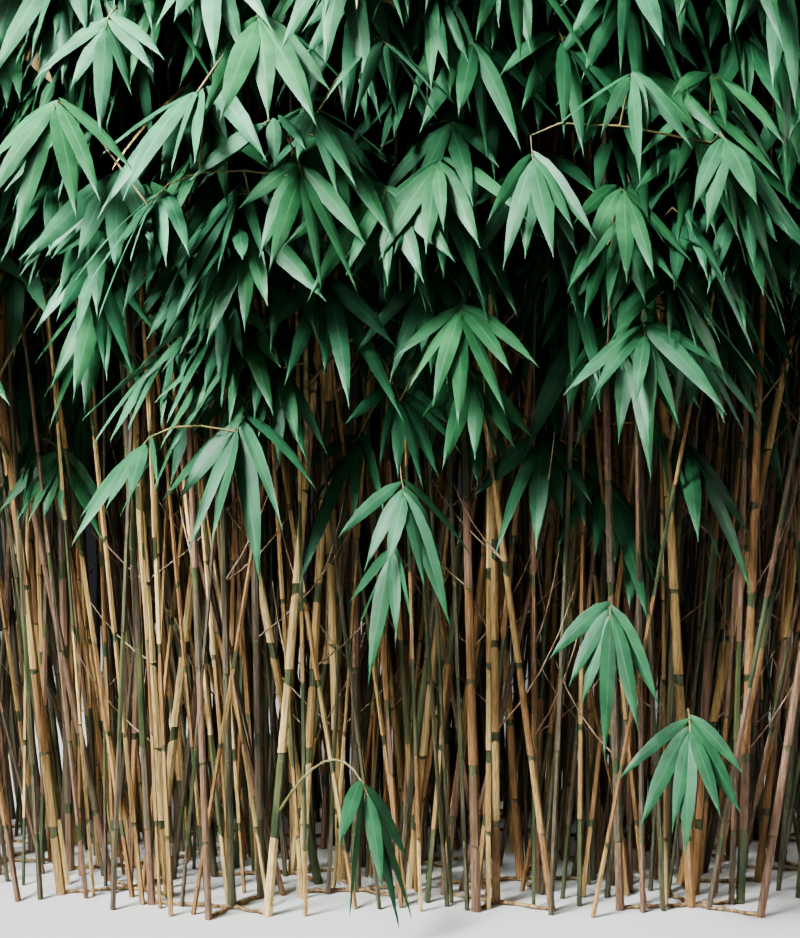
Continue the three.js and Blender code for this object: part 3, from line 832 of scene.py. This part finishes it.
# %% Model the leaf
LEAF_ROWS = [0, 0.06, 0.2, 0.4, 0.64, 0.83, 0.93, 1]
LEAF_WIDTHS = [0.07, 0.38, 0.84, 1, 0.8, 0.38, 0.11, 0.0]
MIDRIB_SINK = 0.16
LEAST_WIDTH = 1e-4
MERGE_DISTANCE = 0.001
LAST_ROW = len(LEAF_ROWS) - 1
bpy.ops.object.select_all(action="DESELECT")
bpy.ops.mesh.primitive_grid_add(x_subdivisions=2, y_subdivisions=LAST_ROW, size=2, location=(0, 0, 0))
leaf = bpy.context.object
leaf.name = "leaf_pattern"
side_of, up_leaf, _ = np.array([v.co for v in leaf.data.vertices]).T
row_of = np.round((up_leaf + 1) / 2 * LAST_ROW).astype(int)


def select_corners(piece, chosen):
    bpy.ops.object.mode_set(mode="EDIT")
    bpy.ops.mesh.select_mode(type="VERT")
    bpy.ops.mesh.select_all(action="DESELECT")
    bpy.ops.object.mode_set(mode="OBJECT")
    piece.data.vertices.foreach_set("select", chosen)
    bpy.ops.object.mode_set(mode="EDIT")


for row, (along, width) in enumerate(zip(LEAF_ROWS, LEAF_WIDTHS)):
    select_corners(leaf, row_of == row)
    now = -1 + 2 * row / LAST_ROW
    bpy.ops.transform.translate(value=(0, along - now, 0))
    bpy.ops.transform.resize(value=(max(width, LEAST_WIDTH), 1, 1), center_override=(0, along, 0))
select_corners(leaf, (abs(side_of) < 0.1) & (row_of > 0) & (row_of < LAST_ROW))
bpy.ops.transform.translate(value=(0, 0, -MIDRIB_SINK))
bpy.ops.mesh.select_all(action="SELECT")
bpy.ops.mesh.remove_doubles(threshold=MERGE_DISTANCE)
bpy.ops.mesh.quads_convert_to_tris()
bpy.ops.object.mode_set(mode="OBJECT")
leaf_corners, leaf_faces = arrays_of(leaf)
bpy.data.objects.remove(leaf)
print("leaf corners:", len(leaf_corners), "faces:", len(leaf_faces))

# %% [markdown]
# ## Leaf finishes
# Bamboo leaves are a cool mid green above, with a slight shine, and here and there one has dried to straw.
# Each hand of leaves is dealt one plain green from a row that runs from almost black green to light green.
# The green is painted light and shade: lighter for hands that stand out in front, darker deep in the crown,
# low down, among the canes and on the right, with a random tone by hand and by mass. Only faint patches
# and the paler midrib are painted over it.

# %% Leaf greens
# Greens from the darkest, for painted shade, to the lightest, for painted light, and the straw of dry
# leaves.
LEAF_COLOURS = {
    "leaf_shade_green": (0.020, 0.076, 0.033),
    "leaf_deep_green": (0.023, 0.088, 0.037),
    "leaf_mid_green": (0.026, 0.099, 0.038),
    "leaf_cool_green": (0.032, 0.112, 0.053),
    "leaf_lit_green": (0.044, 0.130, 0.064),
    "leaf_straw": (0.38, 0.27, 0.11),
}


def leaf_finish(name, base):
    finish = Finish(name, roughness=0.5, specular=0.26)
    patch = finish.noise(scale=26.0, detail=2.0)
    pale = tuple(1.22 * part for part in base)
    dark = tuple(0.8 * part for part in base)
    body = finish.blend(patch, dark, pale, low=0.38, high=0.64)
    across = finish.node("ShaderNodeAttribute")
    across.attribute_name = "across_leaf"
    rib = tuple(min(1, 1.45 * part + 0.008) for part in base)
    finish.colour(finish.blend(across.outputs["Fac"], rib, body, low=0.0, high=0.16))
    return finish.material


leaf_finishes = [leaf_finish(name, base) for name, base in LEAF_COLOURS.items()]
print("leaf finishes:", len(leaf_finishes))

# %% Twig finish
TWIG_COLOURS = (0.10, 0.10, 0.035), (0.27, 0.2, 0.09)
BARK = {"scale": 60.0, "detail": 2.0}
twig_finish, _ = patchy_finish("thin_twig", *TWIG_COLOURS, BARK, 0.55, low=0.35, high=0.65)


# %% [markdown]
# ## Hands of leaves
# Five to seven leaves spread like fingers from the end of each twig. The hand faces outwards and hangs, and
# at the top of the crown it is held more level. A leaf that would reach out of the crown or through a cane
# is tried shorter and then left out. All the leaves of a mass are worked out together as arrays.

# %% The way each hand points, as a unit vector
NEAR_AXIS = 0.3
HAND_TURN = 1.3
TURN_NEAR_AXIS = 5
LOWEST_LIFT = -1.3
LIFT_AT_TOP = 2
LIFT_SPREAD = 0.5


def hand_headings(apexes, item):
    across = apexes / (CROWN_HALF_WIDTH, CROWN_HALF_DEPTH, 1) * (1, 1, 0)
    out = unit(across)
    near_axis = np.clip(1 - np.linalg.norm(across, axis=1) / NEAR_AXIS, 0, 1)
    turn = (HAND_TURN + TURN_NEAR_AXIS * near_axis) * (chance(item, 5) - 0.5)
    x = out[:, 0] * np.cos(turn) - out[:, 1] * np.sin(turn)
    y = out[:, 0] * np.sin(turn) + out[:, 1] * np.cos(turn)
    rise = np.maximum(0, (apexes[:, 2] - CROWN_CENTRE_HEIGHT) / CROWN_RISE)
    lift = LOWEST_LIFT + LIFT_AT_TOP * rise**1.5 + LIFT_SPREAD * (chance(item, 6) - 0.5)
    return unit(np.stack([x, y, lift], axis=-1))


# %% The middle line of a leaf, which sags more and more along it
def leaf_line(root, along, droop, length, t):
    sag = 0.5 * droop[:, None, None] * (t**2)[None, :, None] * -UP
    line = along[:, None, :] * t[None, :, None] + sag
    return root[:, None, :] + length[:, None, None] * line


# %% Sizes of a hand and its leaves
LEAVES_IN_HAND = 7
SURE_LEAVES = 5
SPARE_LEAVES = 0.6
LEAF_LENGTH = 0.158
LEAF_HALF_WIDTH = 0.0144
WIDEST_LEAF = 0.118
LEAF_SPACING = 0.006
VIGOUR = 0.84
VIGOUR_SPREAD = 0.38
LENGTH_LEAST = 0.78
LENGTH_SPREAD = 0.42
WIDTH_LEAST = 0.84
WIDTH_SPREAD = 0.34
SIDE_SHORTER = 0.16
SIDE_NARROWER = 0.1
HAND_SPREAD = 1.25
LEAF_SWAY = 0.3
LEAF_LIFT = 0.6
LEAF_ROLL = 1.3
LEAF_HANG = 0.36
LEAF_DROOP = 0.2
DROOP_SPREAD = 0.55
TESTED_PLACES = np.array([0.3, 0.55, 0.8, 1.0])
TRIED_SIZES = (1, 0.8, 0.62)
print("longest leaf:", round(LEAF_LENGTH * (VIGOUR + VIGOUR_SPREAD) * (LENGTH_LEAST + LENGTH_SPREAD), 3))

# %% Whether a leaf fits
LEAF_TO_CANE = 0.006
LOWEST_LEAF_TIP = 0.012
HIGHEST_LEAF_TIP = 3.01


def leaf_fits(points, free):
    fits = in_crown(points).all(axis=1) | free
    fits &= (points[..., 2] > LOWEST_LEAF_TIP).all(axis=1)
    fits &= (points[..., 2] < HIGHEST_LEAF_TIP).all(axis=1)
    return fits & clear_of_canes(points, LEAF_TO_CANE, tuft_canes).all(axis=1)


# %% Lay out the leaves of many hands at once
def lay_leaves(apexes, headings, item, free, size=1.0):
    """Gives the root, heading, edge, length, half width, droop and hand of each leaf that fits.
    A free hand may hang out of the crown."""
    beside = unit(np.cross(headings, UP))
    face = unit(np.cross(beside, headings))
    vigour = size * (VIGOUR + VIGOUR_SPREAD * chance(item, 25))
    # Leaves hang fully in the lower half of the crown, and less and less towards its top.
    hang = np.clip(1.4 - (apexes[:, 2:] - CROWN_CENTRE_HEIGHT) / CROWN_RISE * 1.6, 0, 1)
    laid = []
    for i in range(LEAVES_IN_HAND):
        present = chance(item, 40 + i) < (1.0 if i < SURE_LEAVES else SPARE_LEAVES)
        side = 1 if i % 2 else -1
        place = math.ceil(i / 2) / (LEAVES_IN_HAND // 2)
        angle = side * HAND_SPREAD * place + LEAF_SWAY * (chance(item, 50 + i) - 0.5)
        along = headings * np.cos(angle)[:, None] + beside * np.sin(angle)[:, None]
        along = along + face * (LEAF_LIFT * (chance(item, 60 + i) - 0.35))[:, None]
        along = unit(unit(along) - LEAF_HANG * hang * UP)
        edge = unit(np.cross(along, face))
        roll = LEAF_ROLL * (chance(item, 70 + i) - 0.5)
        edge = edge * np.cos(roll)[:, None] + np.cross(along, edge) * np.sin(roll)[:, None]
        root = apexes - headings * (LEAF_SPACING * (i + 0.2))
        full = vigour * LEAF_LENGTH * (LENGTH_LEAST + LENGTH_SPREAD * chance(item, 80 + i))
        full = full * (1 - SIDE_SHORTER * place)
        half = vigour * LEAF_HALF_WIDTH * (WIDTH_LEAST + WIDTH_SPREAD * chance(item, 90 + i))
        half = half * (1 - SIDE_NARROWER * place)
        half = np.minimum(half, WIDEST_LEAF * full)
        droop = LEAF_DROOP + DROOP_SPREAD * chance(item, 100 + i)
        length = np.zeros(len(apexes))
        for shrink in TRIED_SIZES:
            tried = full * shrink
            fits = leaf_fits(leaf_line(root, along, droop, tried, TESTED_PLACES), free)
            half = np.where((length == 0) & fits, half * shrink**0.6, half)
            length = np.where((length == 0) & fits, tried, length)
        rows = np.nonzero(present & (length > 0))[0]
        laid.append((root[rows], along[rows], edge[rows], length[rows], half[rows], droop[rows], rows))
    return [np.concatenate(column) for column in zip(*laid)]


# %% Bend and place the leaf pattern on every leaf
DRY = list(LEAF_COLOURS).index("leaf_straw")
DRY_SHARE = 0.004
LEAF_TWIST = 0.7


def leaf_mesh(name, laid, finish_of_hand):
    root, along, edge, length, half, droop, hand = laid
    u, v, w = leaf_corners[:, 1], leaf_corners[:, 0], leaf_corners[:, 2]
    face = np.cross(along, edge)
    twist = (LEAF_TWIST * (chance(np.arange(len(root)) + 17, 15) - 0.5))[:, None] * u
    edge_here = edge[:, None, :] * np.cos(twist)[..., None] + face[:, None, :] * np.sin(twist)[..., None]
    beside = edge_here * v[None, :, None] + face[:, None, :] * w[None, :, None]
    points = leaf_line(root, along, droop, length, u) + half[:, None, None] * beside
    first = np.arange(len(root))[:, None, None] * len(leaf_corners)
    faces = (leaf_faces + first).reshape(-1, 3)
    finish = np.where(chance(hand * 13 + np.arange(len(hand)), 18) < DRY_SHARE, DRY, finish_of_hand[hand])
    finish = np.repeat(finish, len(leaf_faces))
    piece = new_piece(name, points.reshape(-1, 3), faces, leaf_finishes, finish)
    across = piece.data.attributes.new("across_leaf", "FLOAT", "POINT")
    spread = np.abs(v) / np.maximum(np.interp(u, LEAF_ROWS, LEAF_WIDTHS), 0.05)
    across.data.foreach_set("value", np.tile(spread, len(root)).astype(np.float32))
    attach(piece, "root")
    return piece


# %% Twigs of one mass in one piece
def twig_piece(name, parts):
    piece = new_piece(name, *joined(parts), [twig_finish.material])
    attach(piece, "root")
    return piece


# %% [markdown]
# ## Grow the masses
# Each mass starts from its stem and first twigs. Then every new hand joins the nearest wood that is there
# already by a finer twig, and its twig becomes wood that others can join. The hands that stand out come
# first, and then the nearest. This is how a real spray fills its space, and it needs no planning: only the
# places of the hands are given.

# %% Hands that stand out, and hands among the canes
SHOWN_HANDS = [
    # x, y and z of the hands that stand out in front of the others
    (-0.40, -0.70, 0.79),
    (-0.249, -0.66, 0.825),
    (-0.194, -0.60, 0.906),
    (0.0, -0.6, 0.874),
    (0.008, -0.62, 0.719),
    (-0.016, -0.60, 0.626),
    (0.365, -0.72, 0.965),
    (0.09, -0.72, 0.995),
    (0.19, -0.8, 1.21),
    (-0.015, -0.8, 1.376),
    (-0.3, -0.8, 1.305),
    (-0.497, -0.8, 1.282),
    (0.468, -0.8, 1.239),
    (-0.2, -0.8, 1.41),
    (-0.42, -0.8, 1.4),
    (-0.36, -0.8, 1.15),
    (-0.14, -0.8, 1.19),
    (0.33, -0.8, 1.33),
]
SHADED_HANDS = [
    # x, y and z of the hands among the canes, in their shade
    (0.287, -0.44, 0.78),
    (0.442, -0.44, 0.814),
    (0.354, -0.42, 0.725),
    (0.489, -0.42, 0.792),
    (0.405, -0.4, 0.64),
    (0.236, -0.46, 0.809),
    (-0.08, -0.46, 0.79),
    (-0.35, -0.46, 0.86),
    (0.12, -0.44, 0.86),
]


# %% Places for all hands, with lobes in the outline as tall canes and gaps make them
EVEN_STEP = 1.22074408
HANDS_ALL_ROUND = 3500
HANDS_IN_FRONT = 480
AROUND_ITEMS = 5000
FRONT_ITEMS = 20000
SHOWN_ITEMS = 30000
SHADED_ITEMS = 31000
# Hands among the canes are dealt dark greens, as painted shade.
SHADED_LIGHT = 0.3
LOW_LIGHT = 0.54
HIGH_LIGHT = 0.46
RIGHT_SHADE = 0.36
MOST_OUT = 0.95
LEAST_OUT = 0.5
LEAST_OUT_IN_FRONT = 0.66
LOBE_DEPTH = 0.075
OUT_BIAS = 0.8
HAND_TO_CANE = 0.03


def hand_places(count, first, turns, rises, least):
    i = np.arange(count)
    rise = rises[0] + (rises[1] - rises[0]) * ((0.5 + i / EVEN_STEP) % 1)
    turn = turns[0] + (turns[1] - turns[0]) * ((0.5 + i / EVEN_STEP**2) % 1)
    # How far out a hand is also sets its painted light: hands deeper in the crown get darker greens, as
    # painted shade.
    out = ((0.5 + i / EVEN_STEP**3) % 1) ** OUT_BIAS
    share = least + (MOST_OUT - least) * out
    lobes = (np.sin(5 * turn + 7 * rise) + np.sin(11 * turn - 5 * rise)) / 2
    return crown_point(rise, turn, share * (1 + LOBE_DEPTH * (lobes - 1))), first + i, out


around = hand_places(HANDS_ALL_ROUND, AROUND_ITEMS, (0, 2 * math.pi), (-0.86, 0.995), LEAST_OUT)
front_turns = (1.18 * math.pi, 1.82 * math.pi)
front = hand_places(HANDS_IN_FRONT, FRONT_ITEMS, front_turns, (-0.84, 0.1), LEAST_OUT_IN_FRONT)
shown_places = np.array(SHOWN_HANDS)
# The low ones and those on the right are painted darker, as painted shade of the clump.
shown_light = LOW_LIGHT + HIGH_LIGHT * np.clip((shown_places[:, 2] - 0.8) / 0.5, 0, 1)
shown_light -= RIGHT_SHADE * np.clip(0.1 + shown_places[:, 0] / 0.5, 0, 1)
shown = (shown_places, SHOWN_ITEMS + np.arange(len(SHOWN_HANDS)), shown_light)
shaded_light = np.full(len(SHADED_HANDS), SHADED_LIGHT)
shaded = (np.array(SHADED_HANDS), SHADED_ITEMS + np.arange(len(SHADED_HANDS)), shaded_light)
apexes, items, painted_light = (np.concatenate(rows) for rows in zip(around, front, shown, shaded))
is_shown = items >= SHOWN_ITEMS
owners = nearest_mass(apexes)
clear = clear_of_canes(apexes, HAND_TO_CANE, tuft_canes)

# %% The hands thin out towards the crown's ragged lower edge
FIRST_LEAVES = 0.8
FULL_LEAVES = 1.1
x, y, z = apexes.T
behind = np.clip(0.5 + y, 0, 1)
# The edge runs in long and short waves, higher ones at the back, and hangs lower on the left.
long_waves = (0.05 + 0.05 * behind) * np.sin(9.1 * x + 1.3 + 4 * y)
short_waves = (0.04 + 0.03 * behind) * np.sin(23.7 * x + 11 * y)
ragged = long_waves + short_waves - 0.06 * np.clip(x / 0.5, -1, 1)
share = np.clip((z + ragged - FIRST_LEAVES) / (FULL_LEAVES - FIRST_LEAVES), 0, 1)
kept = chance(items, 19) < share * share * (3 - 2 * share)

# %% Clearings, where canes show through the foliage, and room round the hands that stand out
CLEARINGS = [
    # x and z of the middle, half width and half height
    (-0.09, 1.06, 0.10, 0.15),
    (0.20, 0.97, 0.07, 0.12),
    (0.23, 1.36, 0.07, 0.09),
    (-0.42, 1.02, 0.06, 0.08),
    (-0.57, 0.94, 0.13, 0.15),
]
CLEARING_SHARE = 0.86
CLEARING_DEPTH = -0.3
ROOM_ROUND_HAND = 0.1
HAND_DROP = 0.04
HAND_DEPTH = -0.66
in_clearing = np.zeros(len(apexes), dtype=bool)
for middle_x, middle_z, half_width, half_height in CLEARINGS:
    in_clearing |= ((x - middle_x) / half_width) ** 2 + ((z - middle_z) / half_height) ** 2 < 1
in_clearing &= (y < CLEARING_DEPTH) & (chance(items, 21) < CLEARING_SHARE)
crowding = np.zeros(len(apexes), dtype=bool)
for shown_x, _, shown_z in SHOWN_HANDS:
    crowding |= np.hypot(x - shown_x, z - shown_z + HAND_DROP) < ROOM_ROUND_HAND
crowding &= y < HAND_DEPTH
wanted = (clear & kept & ~in_clearing & ~crowding) | is_shown
print("hands:", len(apexes), "wanted:", wanted.sum())


# %% The first twigs of a mass
def first_twigs(stem_line, own):
    lines = []
    for k, spray in enumerate(own):
        apex = first_apexes[spray]
        root = spring_point(stem_line, (k + 0.6) / len(own))
        heading = hand_headings(apex[None], np.array([spray]))[0]
        lines.append(arch(root, apex - heading * 0.5 * np.linalg.norm(root - apex), apex, 6))
    return lines


# %% Fine twigs, each from the nearest wood
HAND_TO_BORDER = 0.02
SHORTEST_TWIG = 0.02
TWIG_TO_CANE = 0.004


def fine_twigs(mass, stem_line, first_lines):
    wood = np.vstack([stem_line[-2:]] + [line[1:] for line in first_lines])
    inside = is_shown | (room_to_border(apexes, mass) > HAND_TO_BORDER)
    chosen = np.nonzero((owners == mass) & wanted & inside)[0]
    away = np.linalg.norm(apexes[chosen] - stem_line[-1], axis=1)
    chosen = chosen[np.argsort(away - is_shown[chosen])]
    headings = hand_headings(apexes[chosen], items[chosen])
    lines, grown = [], []
    for index, heading in zip(chosen, headings):
        apex = apexes[index]
        gaps = np.linalg.norm(wood - apex, axis=1)
        root = wood[gaps.argmin()]
        if gaps.min() < SHORTEST_TWIG:
            continue
        line = arch(root, apex - heading * 0.5 * gaps.min(), apex, 5)
        if not is_shown[index] and not clear_of_canes(line[1:], TWIG_TO_CANE, tuft_canes).all():
            continue
        lines.append(line)
        grown.append(index)
        wood = np.vstack([wood, line[1:]])
    return lines, grown


# %% Dress each mass
# Hands on the first twigs all get the same middling painted light.
FIRST_LIGHT = 0.8
LIGHT_WEIGHT = 0.9
HAND_TINT = 0.55
MASS_TINT = 0.16
SHADE_STEPS = [0.36, 0.62, 0.86, 1.04]
FINE_TWIG_RADII = [0.0019, 0.0017, 0.0015, 0.0012, 0.001]
leaf_count = 0
for mass, name in enumerate(mass_names):
    stem_line, stem_radii = stems[mass]
    own = np.nonzero(first_owner == mass)[0]
    first_lines = first_twigs(stem_line, own)
    fine_lines, grown = fine_twigs(mass, stem_line, first_lines)
    lines = np.array(first_lines)[:, [0, 1, 3, 4, 5]]
    lines = np.concatenate([lines, np.array(fine_lines)])
    hand_item = np.concatenate([own, items[grown]])
    hand_light = np.concatenate([np.full(len(own), FIRST_LIGHT), painted_light[grown]])
    free = np.concatenate([np.zeros(len(own), dtype=bool), is_shown[grown]])
    headings = unit(lines[:, -1] - lines[:, -2])
    laid = lay_leaves(lines[:, -1], headings, hand_item, free)
    # A hand's green is painted light and shade, set by its painted light, with a random tone by hand and by
    # mass.
    tint = MASS_TINT * (chance(mass, 33) - 0.5)
    shade = LIGHT_WEIGHT * hand_light + HAND_TINT * (chance(hand_item, 17) - 0.5) + tint
    leaves = leaf_mesh(f"leaves_of_{name}", laid, np.digitize(shade, SHADE_STEPS))
    radii = np.tile(FINE_TWIG_RADII, (len(lines), 1))
    radii[: len(own)] = np.linspace(TWIG_RADIUS, TWIG_TIP_RADIUS * 0.6, 5)
    tubes_of_mass = [tubes(stem_line[None], stem_radii[None], 6), tubes(lines, radii, 4)]
    twigs = twig_piece(f"twigs_of_{name}", tubes_of_mass)
    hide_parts(name)
    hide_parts(name)
    leaf_count += len(laid[0])
print("leaves:", leaf_count)

# %% [markdown]
# ## Low shoots and dead side twigs
# A few leafy shoots spring from the canes near the ground. Each is one thin arching stem with a single hand.
# Where a cane once bore a branch low down, in the shade, the branch has died and is left as a bare twig.

# %% Low shoots at the places of the source
LOW_SPRAYS = [(-0.05, -0.56, 0.235), (0.34, -0.53, 0.52), (0.47, -0.54, 0.33), (-0.42, 0.54, 0.43)]
LOW_LEAF_SIZE = 0.88
LOW_ITEMS = 900
SPRING_DROP = 0.06
LOW_OUT = 0.45
LOW_DOWN = 0.9
LOW_KNEE = 0.7
LOW_RADII = np.linspace(TWIG_RADIUS, TWIG_TIP_RADIUS, 5)
LOW_SHOWN_RADII = np.linspace(0.0026, 0.0015, 10)
# Low shoots are dealt a dark green, as painted shade low in the clump.
LOW_SHOOT_SHADE_GREEN = list(LEAF_COLOURS).index("leaf_deep_green")
for i, place in enumerate(LOW_SPRAYS):
    apex = np.array(place)
    starts = []
    for cane in tuft_canes:
        z = apex[2] - SPRING_DROP
        start = np.array([*cane.centre(z), z])
        starts.append((np.linalg.norm(start - apex), start, cane))
    for away, start, cane in sorted(starts, key=lambda row: row[0]):
        heading = unit(unit((apex - start) * (1, 1, 0)) * LOW_OUT - UP * LOW_DOWN)
        knee = apex - heading * LOW_KNEE * away
        if line_is_clear(arch(start, knee, apex, 5), LOW_RADII, all_but(cane)):
            break
    line = arch(start, knee, apex, 10)
    arrival = unit(line[-1] - line[-2])[None]
    laid = lay_leaves(apex[None], arrival, np.array([LOW_ITEMS + i]), np.array([True]), LOW_LEAF_SIZE)
    leaves = leaf_mesh(f"leaves_of_low_spray_{i + 1}", laid, np.array([LOW_SHOOT_SHADE_GREEN]))
    twig = twig_piece(f"twig_of_low_spray_{i + 1}", [tubes(line[None], LOW_SHOWN_RADII[None], 6)])
    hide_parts(f"low_spray_{i + 1}")
    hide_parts(f"low_spray_{i + 1}")

# %% Dead side twigs
DEAD_TWIGS = 420
DEAD_ITEMS = 7000
DEAD_FROM = 0.18
DEAD_TO = 1.25
DEAD_LENGTH = 0.14
DEAD_LENGTH_SPREAD = 0.2
DEAD_STEEPNESS = 0.9
DEAD_STEEPNESS_SPREAD = 0.7
DEAD_TO_CANE = 0.003
DEAD_RADII = [0.0017, 0.0015, 0.0013, 0.001, 0.0006]
DEAD_COLOURS = (0.17, 0.11, 0.065), (0.38, 0.27, 0.18)
WEATHER = {"scale": 40.0, "detail": 2.0}
dead_finish, _ = patchy_finish("dead_twig", *DEAD_COLOURS, WEATHER, 0.7, 0.25, low=0.35, high=0.65)
dead_lines = []
for item in DEAD_ITEMS + np.arange(2 * DEAD_TWIGS):
    cane = tuft_canes[int(chance(item, 1) * len(tuft_canes))]
    nodes = node_heights(cane)
    low_nodes = nodes[(nodes > DEAD_FROM) & (nodes < DEAD_TO)]
    z = low_nodes[int(chance(item, 2) * len(low_nodes))]
    start = np.array([*cane.centre(z), z])
    turn = 2 * math.pi * chance(item, 3)
    out = np.array([math.cos(turn), math.sin(turn), 0])
    long = DEAD_LENGTH + DEAD_LENGTH_SPREAD * chance(item, 4)
    steep = DEAD_STEEPNESS + DEAD_STEEPNESS_SPREAD * chance(item, 5)
    end = start + unit(out + UP * steep) * long
    line = arch(start, start + unit(out + UP * 0.6 * steep) * long * 0.5, end, 5)
    if len(dead_lines) < DEAD_TWIGS and clear_of_canes(line, DEAD_TO_CANE, all_but(cane)).all():
        dead_lines.append(line)
dead_radii = np.tile(DEAD_RADII, (len(dead_lines), 1))
dead = new_piece("dead_side_twigs", *tubes(np.array(dead_lines), dead_radii, 5), [dead_finish.material])
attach(dead, "root")
print("dead twigs:", len(dead_lines))

# %% [markdown]
# ## Floor, light and camera
# A plain pale floor and soft light. The key light is a large panel high on the left in front, because
# daylight falls on the leaves from there. One at the left front corner brightens the leaves on that side,
# and weaker ones fill the front, the right side and the back. The surround is dim, so that the gaps between
# the canes stay dark.

# %% Floor
FLOOR_RADIUS = 3.4
BELOW_FEET = (0, 0, -0.001)
FLOOR_COLOUR = (0.5, 0.485, 0.46, 1)
bpy.ops.object.select_all(action="DESELECT")
bpy.ops.mesh.primitive_circle_add(vertices=96, radius=FLOOR_RADIUS, fill_type="NGON", location=BELOW_FEET)
floor = bpy.context.object
floor.name = "floor"
floor_finish = Finish("pale_floor", roughness=0.8, specular=0.2)
floor_finish.shader.inputs["Base Color"].default_value = FLOOR_COLOUR
floor.data.materials.append(floor_finish.material)

# %% Light
SURROUND_COLOUR = (0.80, 0.84, 0.88, 1)
SURROUND_STRENGTH = 0.035
world = bpy.data.worlds.new("soft_surround")
world.use_nodes = True
background = world.node_tree.nodes["Background"]
background.inputs["Color"].default_value = SURROUND_COLOUR
background.inputs["Strength"].default_value = SURROUND_STRENGTH
bpy.context.scene.world = world


def panel(name, place, target, size, power, colour, spread=180):
    light = bpy.data.lights.new(name, "AREA")
    light.spread = math.radians(spread)
    light.shape, light.size, light.energy, light.color = "DISK", size, power, colour
    lamp = bpy.data.objects.new(name, light)
    lamp.visible_camera = False
    lamp.location = place
    lamp.rotation_euler = (Vector(target) - Vector(place)).to_track_quat("-Z", "Y").to_euler()
    bpy.context.scene.collection.objects.link(lamp)


panel("key_panel", (-2.2, -2.3, 7.0), (0, -0.3, 1.4), 4.0, 252, (0.97, 0.99, 1.0))
panel("corner_panel", (-2.6, -2.9, 3.7), (-0.7, -0.6, 1.9), 1.6, 168, (0.88, 0.97, 1.0), 58)
panel("front_fill_panel", (-0.6, -5.0, 4.7), (0, -0.5, 1.4), 3.0, 49, (0.93, 0.98, 1.0))
panel("side_panel", (4.8, -0.4, 3.6), (0.6, 0, 1.7), 2.4, 54, (0.98, 0.99, 1.0), 90)
panel("low_fill_panel", (-1.7, -3.0, 0.7), (-0.8, -0.3, 0.35), 1.2, 4, (1.0, 0.96, 0.90), 90)
panel("back_panel", (0.9, 4.6, 4.4), (0, 0.4, 2.5), 2.4, 90, (1.0, 0.99, 0.97), 70)
bpy.context.scene.view_settings.look = "AgX - Medium High Contrast"

# %% Camera
CAMERA_DISTANCE = 3.0
CAMERA_HEIGHT = 0.85
CAMERA_PITCH = math.radians(-2.0)
FOCAL_PIXELS = 1530
FRAME_HEIGHT = 938
SENSOR_WIDTH = 36
camera_data = bpy.data.cameras.new("camera")
camera_data.sensor_width = SENSOR_WIDTH
camera_data.lens = FOCAL_PIXELS * SENSOR_WIDTH / FRAME_HEIGHT
camera_data.clip_end = 100
camera = bpy.data.objects.new("camera", camera_data)
camera.location = (0, -CAMERA_DISTANCE, CAMERA_HEIGHT)
camera.rotation_euler = (math.pi / 2 + CAMERA_PITCH, 0, 0)
bpy.context.scene.collection.objects.link(camera)
bpy.context.scene.camera = camera
